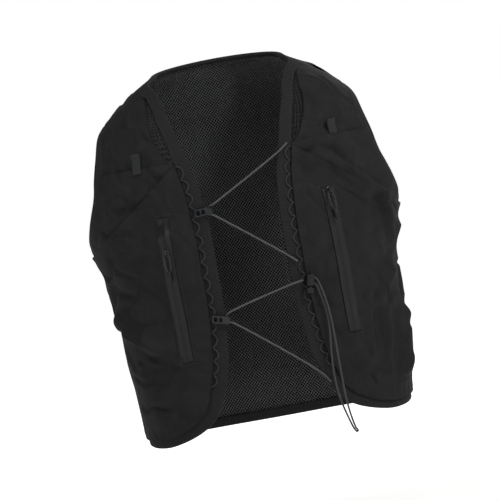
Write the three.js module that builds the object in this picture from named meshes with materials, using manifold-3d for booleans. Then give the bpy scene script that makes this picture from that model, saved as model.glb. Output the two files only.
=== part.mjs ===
// Running hydration vest in its worn shape, in millimetres: back panel, two fronts with layered
// pockets, edge bindings, daisy chains, lacing with two hooks and a sprung cord lock.
// +Z is up, the front faces -Y and the wearer's left is +X.
// The origin is midway between the shoulders, where the body holds the vest up.
import * as THREE from 'three';
import { mergeVertices } from 'three/addons/utils/BufferGeometryUtils.js';
import Module from 'manifold-3d';

const wasm = await Module();
wasm.setup();

// Driving dimensions of the worn form
const VEST_LENGTH = 448;
const CHEST_WIDTH = 370;
const CHEST_DEPTH = 224;
const NECK_WIDTH = 154;
const NECK_RISE = 26;
const BACK_NECK_RISE = 10;
const SHOULDER_DROP = 28;
const ARMHOLE_HEIGHT = 133;
const ARMHOLE_FRONT_REACH = 53;
const ARMHOLE_BACK_REACH = 46;

// Cloth layers
const MESH_THICKNESS = 2;
const CLOTH_THICKNESS = 1;
const LAYER_GAP = 0.5;
const POCKET_GAP = 0.8;
const SEAM_GAP = 0.3;
const PUFF = 3;
const PUFF_FADE = 34;
const FOLD_DEPTH = 4;
const FOLD_WIDTH = 15;

// Edge bindings
const TAPE_THICKNESS = 1.2;
const TAPE_WIDTH = 17;
const LIP_WIDTH = 3;
const LINING_CLEARANCE = 1;
const CRESCENT_WIDTH = 14;
const HEM_WIDTH = 10;
const NECK_OUTER_WIDTH = 9;
const ARMHOLE_BINDING_WIDTH = 10.5;

// Pockets, zips and webbing loops
const POCKET_TOP_DROP = 78;
const FLASK_POCKET_DEPTH = 160;
const DIAGONAL_START_ACROSS = 72;
const DIAGONAL_START_DROP = 84;
const DIAGONAL_END_DROP = 174;
const ZIP_LENGTH = 168;
const ZIP_TAPE_WIDTH = 13.5;
const SLIDER_WIDTH = 6.5;
const SLIDER_LENGTH = 9;
const SLIDER_THICKNESS = 2;
const BRIDGE_WIDTH = 2;
const BRIDGE_THICKNESS = 1.2;
const PULL_LOOP_LENGTH = 22;
const PULL_LOOP_WIDTH = 6;
const PULL_CORD_DIAMETER = 2;
const PULL_END_WIDTH = 5;
const PULL_END_LENGTH = 12;
const PULL_END_THICKNESS = 3.2;
const LOOP_WEBBING_WIDTH = 10;
const LOOP_HEIGHT = 24;
const LOOP_EYE = 2.6;
const LOOP_LAP = 6;

// Cords and closure hardware
const DAISY_DIAMETER = 1.8;
const DAISY_REACH = 6.3;
const DAISY_PITCH = 17;
const LACE_DIAMETER = 2.2;
const HOOK_LENGTH = 21;
const HOOK_HEIGHT = 9.5;
const HOOK_THICKNESS = 2.2;
const HOOK_RIM = 2;
const HOOK_CORNER = 2;
const LOCK_WIDTH = 8;
const LOCK_HEIGHT = 13;
const LOCK_DEPTH = 6;
const LOCK_CORNER = 1.2;
const RING_RADIUS = 3.2;
const RING_WIRE = 1.4;
const RING_DEPTH = 2.4;
const LOCK_TILT_DEG = 10;
const STEM_WIDTH = 3.4;
const STEM_DEPTH = 2.6;
const STEM_ENGAGEMENT = 4;
const BUTTON_TRAVEL = 2.5;
const BUTTON_HEAD_HEIGHT = 6;
const RUNNING_CLEARANCE = 0.3;

// Horizontal sections of the form, top to bottom. height is a share of VEST_LENGTH above the
// origin, spread runs from the neck's half width (0) to the chest's (1), front and back are shares
// of half the chest's depth, and round is the section's exponent (2 is an ellipse).
const SECTIONS = [
  { height: 0.080, spread: -0.03, front: 0.41, back: 0.68, round: 2.2 },
  { height: 0.058, spread: 0.00, front: 0.46, back: 0.73, round: 2.2 },
  { height: 0.027, spread: 0.20, front: 0.57, back: 0.81, round: 2.2 },
  { height: 0.000, spread: 0.36, front: 0.66, back: 0.87, round: 2.25 },
  { height: -0.031, spread: 0.53, front: 0.74, back: 0.92, round: 2.3 },
  { height: -0.063, spread: 0.66, front: 0.80, back: 0.96, round: 2.3 },
  { height: -0.112, spread: 0.81, front: 0.88, back: 0.99, round: 2.3 },
  { height: -0.201, spread: 0.96, front: 0.96, back: 1.02, round: 2.3 },
  { height: -0.335, spread: 1.00, front: 1.00, back: 1.00, round: 2.3 },
  { height: -0.446, spread: 0.86, front: 1.00, back: 0.95, round: 2.3 },
  { height: -0.580, spread: 0.80, front: 0.96, back: 0.91, round: 2.3 },
  { height: -0.737, spread: 0.77, front: 0.93, back: 0.91, round: 2.3 },
  { height: -0.920, spread: 0.73, front: 0.91, back: 0.94, round: 2.3 },
];

// Front edge from the neck point down to the rounded corner: around is in degrees from the front
// centre, height a share of VEST_LENGTH. The first row is the neck point itself.
const FRONT_EDGE = [
  { height: 0.013, around: 56 },
  { height: -0.007, around: 49 },
  { height: -0.027, around: 44 },
  { height: -0.054, around: 40.5 },
  { height: -0.078, around: 37 },
  { height: -0.107, around: 33.5 },
  { height: -0.143, around: 30.5 },
  { height: -0.205, around: 26 },
  { height: -0.246, around: 23.6 },
  { height: -0.297, around: 22 },
  { height: -0.368, around: 21 },
  { height: -0.446, around: 21 },
  { height: -0.531, around: 21.5 },
  { height: -0.589, around: 22.5 },
  { height: -0.647, around: 24 },
  { height: -0.719, around: 26.5 },
  { height: -0.786, around: 31.5 },
  { height: -0.837, around: 37 },
];
// Front hem from the rounded corner to the side seam.
const FRONT_HEM = [
  { height: -0.862, around: 42 },
  { height: -0.881, around: 49 },
  { height: -0.896, around: 57 },
  { height: -0.905, around: 65 },
  { height: -0.906, around: 74 },
  { height: -0.903, around: 82 },
  { height: -0.900, around: 90 },
];
const BACK_HEM_SAG = 0.020;

// Widths along the front edge, from the neck point (0) to the corner (1): tape is a share of
// TAPE_WIDTH, crescent the bare lining between tape and shell as a share of CRESCENT_WIDTH.
const EDGE_WIDTHS = [
  { along: 0.00, tape: 0.74, crescent: 0.00 },
  { along: 0.10, tape: 0.74, crescent: 0.00 },
  { along: 0.15, tape: 0.74, crescent: 0.40 },
  { along: 0.20, tape: 0.74, crescent: 0.85 },
  { along: 0.25, tape: 0.76, crescent: 1.00 },
  { along: 0.29, tape: 0.78, crescent: 0.80 },
  { along: 0.33, tape: 0.82, crescent: 0.25 },
  { along: 0.36, tape: 0.86, crescent: 0.00 },
  { along: 0.45, tape: 1.00, crescent: 0.00 },
  { along: 0.90, tape: 1.00, crescent: 0.00 },
  { along: 1.00, tape: 0.80, crescent: 0.00 },
];
const HEM_START_SHARE = 0.80;
const HEM_BLEND = 0.4;

// Armhole from the shoulder tip (0) to the underarm (1): reach is a share of the armhole's reach.
const ARMHOLE = [
  { down: 0.00, reach: 0.00 },
  { down: 0.035, reach: 0.28 },
  { down: 0.10, reach: 0.57 },
  { down: 0.21, reach: 0.83 },
  { down: 0.36, reach: 1.00 },
  { down: 0.52, reach: 1.00 },
  { down: 0.64, reach: 0.90 },
  { down: 0.78, reach: 0.71 },
  { down: 0.89, reach: 0.50 },
  { down: 0.965, reach: 0.27 },
  { down: 1.00, reach: 0.00 },
];

// Main folds and dents of the fronts. side is 1 on the wearer's left and -1 on the right, deep a
// share of FOLD_DEPTH (ridges are positive) and wide a share of FOLD_WIDTH.
const FOLDS = [
  { side: -1, around: 71, height: -0.040, toAround: 54, toHeight: -0.080, deep: -0.7, wide: 0.7 },
  { side: -1, around: 72, height: -0.080, toAround: 46, toHeight: -0.145, deep: -0.9, wide: 0.9 },
  { side: -1, around: 57, height: -0.179, toAround: 45, toHeight: -0.257, deep: -0.7, wide: 0.8 },
  { side: -1, around: 55, height: -0.300, toAround: 34, toHeight: -0.300, deep: -0.7, wide: 0.7 },
  { side: -1, around: 84, height: -0.600, toAround: 50, toHeight: -0.706, deep: -1.0, wide: 1.0 },
  { side: -1, around: 82, height: -0.560, toAround: 50, toHeight: -0.665, deep: 0.9, wide: 1.0 },
  { side: 1, around: 38, height: -0.275, toAround: 48, toHeight: -0.275, deep: -0.6, wide: 0.7 },
  { side: 1, around: 67, height: -0.346, toAround: 78, toHeight: -0.484, deep: 1.0, wide: 0.9 },
  { side: 1, around: 76, height: -0.680, toAround: 68, toHeight: -0.850, deep: 0.9, wide: 0.9 },
  { side: 1, around: 44, height: -0.850, toAround: 57, toHeight: -0.880, deep: -0.6, wide: 0.8 },
];

// What differs between the two fronts. Heights are shares of VEST_LENGTH, around is in degrees,
// slider is the slider's place down the zip and lean is the pull's slant in degrees.
const FRONTS = [
  {
    name: 'left', side: 1, zipTop: -0.306, zipAround: 44.4, zipFootAround: 48.4,
    slider: 0.02, lean: 6, loopAround: 53.5,
  },
  {
    name: 'right', side: -1, zipTop: -0.308, zipAround: 41.7, zipFootAround: 44.7,
    slider: 0.23, lean: -3, loopAround: 51.4,
  },
];
const DAISY_FROM = 0.335;
const DAISY_TO = 0.90;

// The hooks' places: past is how far a hook's middle lies past the front edge as a share of
// HOOK_LENGTH, height a share of VEST_LENGTH, and turn is in degrees.
const HOOKS = [
  { name: 'upper_hook', past: 0.01, height: -0.308, turn: 3 },
  { name: 'lower_hook', past: 0.13, height: -0.590, turn: -13 },
];
// The lock's place, across from the front centre as a share of half the chest's width.
const LOCK_PLACE = { across: 0.325, height: -0.528 };
// The hooks' slots from end to end, as shares of HOOK_LENGTH.
const HOOK_SLOTS = [
  { from: 0.095, to: 0.295 },
  { from: 0.390, to: 0.560 },
];

// Taut lacing: each row is x and z in millimetres and how far the cord's centre stands off the form.
const UPPER_LACE = [
  { x: 63, z: -78, off: 6.9 },
  { x: 54, z: -84.5, off: 5.6 },
  { x: -31, z: -131, off: 4.6 },
  { x: -38, z: -134.5, off: 4.3 },
  { x: -39, z: -138, off: 4.3 },
  { x: -37.5, z: -141.5, off: 4.3 },
  { x: -31, z: -146, off: 4.6 },
  { x: 40, z: -203, off: 5.6 },
  { x: 51, z: -213, off: 6.9 },
];
const LOWER_LACE = [
  { x: 52.6, z: -235, off: 10.4 },
  { x: 41, z: -237.5, off: 7 },
  { x: -31, z: -256, off: 4.6 },
  { x: -38.5, z: -259.5, off: 4.3 },
  { x: -40, z: -263, off: 4.3 },
  { x: -39.5, z: -267, off: 4.3 },
  { x: -31, z: -272.5, off: 4.6 },
  { x: 56, z: -347, off: 5.6 },
  { x: 64, z: -359, off: 6.9 },
];

// The free loop of cord below the lock, from its upper exit round to its lower one: x, y, z.
const TAIL_CORD = [
  [67.6, -114.2, -235.2], [70.3, -114.4, -238.6], [72.6, -114.7, -246], [75.2, -114.6, -258],
  [77.3, -114.2, -272], [78.4, -113.4, -290], [78.7, -112.6, -312], [78.6, -112.2, -340],
  [78.7, -112, -366], [79.6, -112, -387], [81.9, -112, -405], [84.2, -112, -415.5],
  [86.0, -112, -419.6], [84.6, -111.4, -420.6], [82.0, -111, -416.5],
  [77.3, -111, -401], [72.9, -111, -382], [70.8, -111, -364], [70.6, -111, -341],
  [72.4, -111, -318], [74.4, -110.9, -300], [75.0, -110.9, -284],
  [73.4, -111.4, -267], [71.0, -112.6, -255], [69.0, -113.7, -246.6], [66.6, -114.3, -242.0],
];
const TAIL_STEPS = 60;

// Colours and finishes
const CHARCOAL = 0x262726;
const finish = (color, roughness, metalness = 0) => ({ color, roughness, metalness });
const SHELL_CLOTH = finish(CHARCOAL, 0.85);
const LINING_MESH = finish(0x1b1c1b, 0.95);
const KNIT_TAPE = finish(0x2b2b2a, 0.9);
const WEBBING = finish(0x303130, 0.85);
const ZIP_FILM = finish(0x232423, 0.6);
const CORD = finish(0x57585a, 0.75);
const BLACK_METAL = finish(0x2a2b2d, 0.3, 0.8);
const BLACK_PLASTIC = finish(0x141415, 0.4);

// Heights of the layers off the form
const tapeTop = MESH_THICKNESS + SEAM_GAP + TAPE_THICKNESS;
const shellInner = MESH_THICKNESS + LAYER_GAP;
const shellOuter = shellInner + CLOTH_THICKNESS;
const flaskInner = shellOuter + LAYER_GAP;
const flaskOuter = flaskInner + CLOTH_THICKNESS;
const zipPocketInner = flaskOuter + POCKET_GAP;
const zipPocketOuter = zipPocketInner + CLOTH_THICKNESS;

const vest = new THREE.Group();
const radians = THREE.MathUtils.degToRad;
const mix = THREE.MathUtils.lerp;

function add(name, geometry, look) {
  const mesh = new THREE.Mesh(geometry, new THREE.MeshStandardMaterial(look));
  mesh.name = name;
  vest.add(mesh);
  return mesh;
}

// A value of a table's column between its rows, straight from row to row.
function lookUp(rows, key, at, column) {
  const i = Math.max(1, rows.findIndex((row) => row[key] >= at));
  const [a, b] = [rows[i - 1], rows[i]];
  const share = THREE.MathUtils.clamp((at - a[key]) / (b[key] - a[key]), 0, 1);
  return mix(a[column], b[column], share);
}

// A smooth curve through a column of a table, straight beyond the table's ends.
function smoothColumn(rows, key, column) {
  const slopes = rows.slice(1).map((row, i) =>
    (row[column] - rows[i][column]) / (row[key] - rows[i][key]));
  const ends = rows.map((_, i) => {
    const [before, after] = [slopes[Math.max(0, i - 1)], slopes[Math.min(i, slopes.length - 1)]];
    return before * after > 0 ? 2 * before * after / (before + after) : 0;
  });
  return (at) => {
    const above = rows.findIndex((row) => row[key] > at);
    const beyond = { 0: 0, [-1]: rows.length - 1 }[above];
    if (beyond !== undefined) return rows[beyond][column] + ends[beyond] * (at - rows[beyond][key]);
    const [a, b, from, to] = [rows[above - 1], rows[above], ends[above - 1], ends[above]];
    const span = b[key] - a[key];
    const t = (at - a[key]) / span;
    return (2 * t ** 3 - 3 * t ** 2 + 1) * a[column] + (t ** 3 - 2 * t ** 2 + t) * span * from
      + (3 * t ** 2 - 2 * t ** 3) * b[column] + (t ** 3 - t ** 2) * span * to;
  };
}
const SECTION_CURVES = Object.fromEntries(['spread', 'front', 'back', 'round'].map((column) =>
  [column, smoothColumn([...SECTIONS].reverse(), 'height', column)]));

// The form's half width, half depth towards the front or back, and roundness at a height.
function section(z, towardsFront) {
  const height = z / VEST_LENGTH;
  return {
    wide: mix(NECK_WIDTH / 2, CHEST_WIDTH / 2, SECTION_CURVES.spread(height)),
    deep: SECTION_CURVES[towardsFront ? 'front' : 'back'](height) * CHEST_DEPTH / 2,
    round: SECTION_CURVES.round(height),
  };
}

// A place on the form is a Vector2 of degrees around from the front centre and height.
const place = (around, z) => new THREE.Vector2(around, z);

function onForm(at) {
  const angle = radians(at.x);
  const { wide, deep, round } = section(at.y, Math.cos(angle) >= 0);
  const radius = ((Math.abs(Math.cos(angle)) / deep) ** round
    + (Math.abs(Math.sin(angle)) / wide) ** round) ** (-1 / round);
  return new THREE.Vector3(radius * Math.sin(angle), -radius * Math.cos(angle), at.y);
}

function normalAt(at) {
  const alongTurn = onForm(place(at.x + 0.5, at.y)).sub(onForm(place(at.x - 0.5, at.y)));
  const alongRise = onForm(place(at.x, at.y + 1)).sub(onForm(place(at.x, at.y - 1)));
  return alongTurn.cross(alongRise).normalize();
}

const off = (at, distance) => onForm(at).addScaledVector(normalAt(at), distance);

// The place on the form level with a point that moved a little off it.
function placeOf(point) {
  const around = THREE.MathUtils.radToDeg(Math.atan2(point.x, -point.y));
  return place(around < -45 ? around + 360 : around, point.z);
}

const stepFrom = (at, direction, distance) => placeOf(onForm(at).addScaledVector(direction, distance));

// The place on the front at a distance across from the centre.
function frontPlace(x, z) {
  const { wide, deep, round } = section(z, true);
  const y = -deep * (1 - Math.abs(x / wide) ** round) ** (1 / round);
  return place(THREE.MathUtils.radToDeg(Math.atan2(x, -y)), z);
}

// A curve on the form through the given places, run through evenly from 0 to 1.
function runThrough(places) {
  const spline = new THREE.CatmullRomCurve3(
    places.map((p) => new THREE.Vector3(p.x, p.y, 0)), false, 'centripetal');
  const samples = spline.getPoints(240).map((p) => place(p.x, p.y));
  const lengths = [0];
  samples.slice(1).forEach((p, i) => {
    lengths.push(lengths[i] + onForm(p).distanceTo(onForm(samples[i])));
  });
  const total = lengths.at(-1);
  const at = (share) => {
    const wanted = THREE.MathUtils.clamp(share, 0, 1) * total;
    const i = Math.max(1, lengths.findIndex((length) => length >= wanted - 1e-9));
    const part = (wanted - lengths[i - 1]) / (lengths[i] - lengths[i - 1]);
    return samples[i - 1].clone().lerp(samples[i], part);
  };
  at.total = total;
  return at;
}

// The direction on the form across a curve, to the side that turn (1 or -1) picks.
function acrossAt(curve, share, turn) {
  const [from, to] = [Math.max(0, share - 0.004), Math.min(1, share + 0.004)];
  const along = onForm(curve(to)).sub(onForm(curve(from)));
  return normalAt(curve(share)).cross(along).normalize().multiplyScalar(turn);
}

// The curve moved across the form by width(share). Near its ends it turns to the directions of the
// seams that it meets there.
const END_BLEND = 0.12;
function inset(curve, width, turn, startSeam = null, endSeam = null) {
  return (share) => {
    const across = acrossAt(curve, share, turn);
    const blend = (seam, distance) => {
      const weight = seam ? Math.max(0, 1 - distance / END_BLEND) : 0;
      if (weight > 0) across.lerp(seam, weight).normalize();
    };
    blend(startSeam, share);
    blend(endSeam, 1 - share);
    return stepFrom(curve(share), across, width(share));
  };
}

// Seams run down the sides in the plane of the origin, half a seam gap from it on either panel.
const sideTurn = (z) => THREE.MathUtils.radToDeg(SEAM_GAP / 2 / section(z, true).wide);
const seamPlace = (z, panel) => place(90 - panel * sideTurn(z), z);
const tipZ = -SHOULDER_DROP;
const underarmZ = tipZ - ARMHOLE_HEIGHT;
const sideHemZ = FRONT_HEM.at(-1).height * VEST_LENGTH;
const seamDirection = (z) => onForm(place(90, z - 1)).sub(onForm(place(90, z + 1))).normalize();
const DOWN_SHOULDER = seamDirection((NECK_RISE + tipZ) / 2);
const UP_SHOULDER = DOWN_SHOULDER.clone().negate();
const DOWN_SIDE = seamDirection((underarmZ + sideHemZ) / 2);
const UP_SIDE = DOWN_SIDE.clone().negate();
const acrossBody = (direction) => direction.clone().setX(-direction.x);

// Base curves of the front (panel 1) and back (panel -1), on the wearer's left.
function armholeCurve(panel) {
  const reach = panel > 0 ? ARMHOLE_FRONT_REACH : ARMHOLE_BACK_REACH;
  return runThrough(ARMHOLE.map((row) => {
    const z = mix(tipZ, underarmZ, row.down);
    const { wide, deep, round } = section(z, panel > 0);
    const y = reach * row.reach + SEAM_GAP / 2;
    const x = wide * (1 - (y / deep) ** round) ** (1 / round);
    return place(THREE.MathUtils.radToDeg(Math.atan2(x, panel * y)), z);
  }));
}
const armhole = { 1: armholeCurve(1), [-1]: armholeCurve(-1) };

const frontEdge = runThrough([
  seamPlace(NECK_RISE, 1),
  ...FRONT_EDGE.map((row) => place(row.around, row.height * VEST_LENGTH)),
  place(FRONT_HEM[0].around, FRONT_HEM[0].height * VEST_LENGTH),
]);
const frontHem = runThrough(FRONT_HEM.map((row) => place(
  Math.min(row.around, seamPlace(sideHemZ, 1).x), row.height * VEST_LENGTH)));
const backHem = runThrough([0, 1, 2, 3, 4, 5, 6, 7, 8].map((i) => {
  const turn = mix(seamPlace(sideHemZ, -1).x, 360 - seamPlace(sideHemZ, -1).x, i / 8);
  return place(turn, sideHemZ - BACK_HEM_SAG * VEST_LENGTH * Math.sin(Math.PI * i / 8) ** 0.7);
}));
const backNeck = runThrough([0, 1, 2, 3, 4, 5, 6, 7, 8].map((i) => {
  const turn = mix(seamPlace(NECK_RISE, -1).x, 360 - seamPlace(NECK_RISE, -1).x, i / 8);
  return place(turn, NECK_RISE + BACK_NECK_RISE * Math.sin(Math.PI * i / 8));
}));

const tapeWidth = (along) => TAPE_WIDTH * lookUp(EDGE_WIDTHS, 'along', along, 'tape');
const crescentWidth = (along) => CRESCENT_WIDTH * lookUp(EDGE_WIDTHS, 'along', along, 'crescent');
const hemWidth = (along) => mix(
  TAPE_WIDTH * HEM_START_SHARE, HEM_WIDTH, THREE.MathUtils.smoothstep(along, 0, HEM_BLEND));

// Steps of the grids that every layer shares, so that their facets stay parallel. The armhole takes
// the same steps on either panel.
const FRONT_COLUMNS = 8;
const ARMHOLE_STEPS = 8;
const ARMHOLE_CROWDING = 0.6;
const FRONT_SIDE_STEPS = 8;
const FRONT_ROWS = ARMHOLE_STEPS + FRONT_SIDE_STEPS;
const BACK_COLUMNS = 12;
const BACK_SHOULDER_STEPS = 2;
const BACK_SIDE_STEPS = 4;
const BACK_ROWS = BACK_SHOULDER_STEPS + ARMHOLE_STEPS + BACK_SIDE_STEPS;

// Shares of the armhole's length at its steps, closer together at its ends.
const armShare = (k) => mix(
  k / ARMHOLE_STEPS, (1 - Math.cos(Math.PI * k / ARMHOLE_STEPS)) / 2, ARMHOLE_CROWDING);

// Rows of places between four boundary curves: left and right run down, top and bottom across.
function gridBetween(left, right, top, bottom, columns, rows) {
  return Array.from({ length: rows + 1 }, (_, j) => Array.from({ length: columns + 1 }, (__, i) => {
    const [s, t] = [i / columns, j / rows];
    const sides = left(j).multiplyScalar(1 - s).add(right(j).multiplyScalar(s));
    const ends = top(i).multiplyScalar(1 - t).add(bottom(i).multiplyScalar(t));
    const upper = left(0).multiplyScalar(1 - s).add(right(0).multiplyScalar(s)).multiplyScalar(1 - t);
    const lower = left(rows).multiplyScalar(1 - s).add(right(rows).multiplyScalar(s)).multiplyScalar(t);
    return sides.add(ends).sub(upper).sub(lower);
  }));
}

// Across the rounded corner, where the front edge's tape meets the hem's.
const AT_CORNER = acrossAt(frontEdge, 1, 1).add(acrossAt(frontHem, 0, 1)).normalize();

// Boundary curves of a front, set in from its bound edges by the given widths.
function frontBounds(edge, hem, arm) {
  const frontSide = inset(frontEdge, edge, 1, DOWN_SHOULDER, AT_CORNER);
  const foot = inset(frontHem, hem, 1, AT_CORNER, UP_SIDE);
  const arc = inset(armhole[1], () => arm, -1, UP_SHOULDER, DOWN_SIDE);
  const left = (j) => frontSide(j / FRONT_ROWS);
  const bottom = (i) => foot(i / FRONT_COLUMNS);
  const right = (j) => (j <= ARMHOLE_STEPS
    ? arc(armShare(j))
    : seamPlace(mix(arc(1).y, foot(1).y, (j - ARMHOLE_STEPS) / FRONT_SIDE_STEPS), 1));
  const top = (i) => seamPlace(mix(left(0).y, arc(0).y, i / FRONT_COLUMNS), 1);
  return { left, right, top, bottom };
}

function backBounds(neck, arm, hem) {
  const collar = inset(backNeck, () => neck, -1, DOWN_SHOULDER, acrossBody(DOWN_SHOULDER));
  const foot = inset(backHem, () => hem, 1, UP_SIDE, acrossBody(UP_SIDE));
  const arc = inset(armhole[-1], () => arm, 1, UP_SHOULDER, DOWN_SIDE);
  const [tipRow, armRow] = [BACK_SHOULDER_STEPS, BACK_SHOULDER_STEPS + ARMHOLE_STEPS];
  const left = (j) => {
    if (j < tipRow) return seamPlace(mix(collar(0).y, arc(0).y, j / tipRow), -1);
    if (j <= armRow) return arc(armShare(j - tipRow));
    return seamPlace(mix(arc(1).y, foot(0).y, (j - armRow) / BACK_SIDE_STEPS), -1);
  };
  const right = (j) => place(360 - left(j).x, left(j).y);
  const top = (i) => collar(i / BACK_COLUMNS);
  const bottom = (i) => foot(i / BACK_COLUMNS);
  return { left, right, top, bottom };
}

// A panel's grid with a border of one cell out to its bare edges, for the lining under the
// bindings. The border is open in the given rows of either side and closes up where a seam starts,
// with that row doubled, so that no facet is flat.
function bordered(grid, bare, leftRows, rightRows, hasTop) {
  const last = grid.length - 1;
  const opens = ([from], j) => from > 0 && j === from;
  const closes = ([, to], j) => to < last && j === to;
  const isOpen = (range, j, pass) => j >= range[0] && j <= range[1]
    && !(opens(range, j) && pass === 0) && !(closes(range, j) && pass === 1);
  const rows = grid.flatMap((row, j) => {
    const changes = [leftRows, rightRows].some((range) => opens(range, j) || closes(range, j));
    return (changes ? [0, 1] : [0]).map((pass) => [
      isOpen(leftRows, j, pass) ? bare.left(j) : row[0],
      ...row,
      isOpen(rightRows, j, pass) ? bare.right(j) : row.at(-1),
    ]);
  });
  const edgeRow = (edge) => {
    const places = grid[0].map((_, i) => edge(i));
    return [places[0], ...places, places.at(-1)];
  };
  return [...(hasTop ? [edgeRow(bare.top)] : []), ...rows, edgeRow(bare.bottom)];
}

// Closed bodies from rows of points. Each ring of a sweep joins the next, and ends are capped.
function bodyFrom(points, triangles) {
  const geometry = new THREE.BufferGeometry();
  geometry.setAttribute('position', new THREE.Float32BufferAttribute(
    points.flatMap((p) => [p.x, p.y, p.z]), 3));
  geometry.setIndex(triangles.flat());
  return geometry;
}

// Flips a closed body whose faces point in.
function facingOut(geometry) {
  const position = geometry.getAttribute('position');
  const index = geometry.getIndex();
  const [a, b, c] = [new THREE.Vector3(), new THREE.Vector3(), new THREE.Vector3()];
  let volume = 0;
  for (let i = 0; i < index.count; i += 3) {
    a.fromBufferAttribute(position, index.getX(i));
    b.fromBufferAttribute(position, index.getX(i + 1));
    c.fromBufferAttribute(position, index.getX(i + 2));
    volume += a.dot(b.cross(c));
  }
  if (volume < 0) {
    for (let i = 0; i < index.count; i += 3) {
      const [second, third] = [index.getX(i + 1), index.getX(i + 2)];
      index.setX(i + 1, third);
      index.setX(i + 2, second);
    }
  }
  return geometry;
}

// A sheet of cloth over a grid, from the inner to the outer distance off the form. pointAt gives
// the point at a place and a distance. Places that closed up are merged. The facets of a symmetric
// sheet are split alike on both halves.
function sheet(grid, inner, outer, pointAt = off, symmetric = false) {
  const [rows, columns] = [grid.length - 1, grid[0].length - 1];
  const points = [inner, outer].flatMap((distance) => grid.flat().map((at) => pointAt(at, distance)));
  const vertex = (i, j, face) => (face * (rows + 1) + j) * (columns + 1) + i;
  const triangles = [];
  const quad = (a, b, c, d) => triangles.push([a, b, c], [a, c, d]);
  for (let j = 0; j < rows; j += 1) {
    for (let i = 0; i < columns; i += 1) {
      const corners = [[i, j + 1], [i + 1, j + 1], [i + 1, j], [i, j]];
      if (symmetric && i >= columns / 2) corners.push(corners.shift());
      quad(...corners.map(([a, b]) => vertex(a, b, 1)));
      quad(...[2, 1, 0, 3].map((k) => vertex(...corners[k], 0)));
    }
  }
  for (let i = 0; i < columns; i += 1) {
    quad(vertex(i, 0, 1), vertex(i + 1, 0, 1), vertex(i + 1, 0, 0), vertex(i, 0, 0));
    quad(vertex(i, rows, 1), vertex(i, rows, 0), vertex(i + 1, rows, 0), vertex(i + 1, rows, 1));
  }
  for (let j = 0; j < rows; j += 1) {
    quad(vertex(0, j, 1), vertex(0, j, 0), vertex(0, j + 1, 0), vertex(0, j + 1, 1));
    quad(vertex(columns, j, 1), vertex(columns, j + 1, 1), vertex(columns, j + 1, 0), vertex(columns, j, 0));
  }
  return facingOut(withoutSlivers(bodyFrom(points, triangles)));
}

// Merges points in one place and leaves out the triangles that this flattens.
function withoutSlivers(geometry) {
  const merged = mergeVertices(geometry, 1e-4);
  const corners = Array.from(merged.getIndex().array);
  const kept = [];
  for (let i = 0; i < corners.length; i += 3) {
    const [a, b, c] = corners.slice(i, i + 3);
    if (a !== b && b !== c && c !== a) kept.push(a, b, c);
  }
  merged.setIndex(kept);
  return merged;
}

// A body swept through rings of points, open with caps or closed into a loop. outline is the
// section's shape in two dimensions, used to cap it. Each step is split from its inner side to the
// edge, or with edgeFirst(step) from the edge to its inner side, as the lining under it is.
function sweep(rings, outline, closed, edgeFirst = () => false) {
  const size = outline.length;
  const triangles = [];
  const last = closed ? rings.length : rings.length - 1;
  for (let k = 0; k < last; k += 1) {
    const next = (k + 1) % rings.length;
    for (let i = 0; i < size; i += 1) {
      const [a, b] = [k * size + i, k * size + (i + 1) % size];
      const [c, d] = [next * size + (i + 1) % size, next * size + i];
      const towardsEdge = outline[(i + 1) % size].x <= outline[i].x;
      triangles.push(...(towardsEdge !== edgeFirst(k) ? [[a, b, c], [a, c, d]] : [[a, b, d], [b, c, d]]));
    }
  }
  if (!closed) {
    const caps = THREE.ShapeUtils.triangulateShape(outline, []);
    const end = (rings.length - 1) * size;
    caps.forEach(([a, b, c]) => triangles.push([a, c, b], [end + a, end + b, end + c]));
  }
  return facingOut(bodyFrom(rings.flat(), triangles));
}

// A folded binding round the lining's edge: a U section with one leg outside and one inside.
// placeAt gives the place at a width in from the bare edge.
const BINDING_OUTLINE = [[9, 3], [-1, 3], [-1, 0], [5, 0], [5, 1], [0, 1], [0, 2], [9, 2]].map(
  ([x, y]) => new THREE.Vector2(x, y));

function bindingRing(placeAt, outerWidth, innerWidth) {
  const [outside, inside] = [-SEAM_GAP - TAPE_THICKNESS, -SEAM_GAP];
  const top = MESH_THICKNESS + SEAM_GAP;
  const [lip, lipFace] = [-LINING_CLEARANCE, -LINING_CLEARANCE - TAPE_THICKNESS];
  return [
    [outerWidth, tapeTop], [outside, tapeTop], [outside, lipFace], [innerWidth, lipFace],
    [innerWidth, lip], [inside, lip], [inside, top], [outerWidth, top],
  ].map(([width, height]) => off(placeAt(width), height));
}

// Rings of a binding along a curve from one share of it to the other.
function bindingRings(curve, turn, outerAt, innerWidth, steps, seams, shareAt = (k) => k / steps) {
  return Array.from({ length: steps + 1 }, (_, k) => bindingRing(
    (width) => inset(curve, () => width, turn, ...seams)(shareAt(k)), outerAt(shareAt(k)), innerWidth));
}

// The ring round an armhole, down its front edge and up its back edge.
function armholeBinding() {
  const half = (panel) => bindingRings(
    armhole[panel], -panel, () => ARMHOLE_BINDING_WIDTH, LIP_WIDTH, ARMHOLE_STEPS,
    [UP_SHOULDER, DOWN_SIDE], armShare);
  const join = (a, b) => a.map((point, i) => point.clone().lerp(b[i], 0.5));
  const [down, up] = [half(1), half(-1)];
  const [atTip, atUnderarm] = [join(down[0], up[0]), join(down.at(-1), up.at(-1))];
  const rings = [atTip, ...down.slice(1, -1), atUnderarm, ...up.slice(1, -1).reverse()];
  return sweep(rings, BINDING_OUTLINE, true, () => true);
}

// Puff and folds of the outer layers of a front: nothing at its edges, PUFF inside.
const EDGE_SAMPLES = 60;
const edgePoints = [frontEdge, frontHem, armhole[1]].flatMap((curve) =>
  Array.from({ length: EDGE_SAMPLES + 1 }, (_, i) => onForm(curve(i / EDGE_SAMPLES))));

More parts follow.
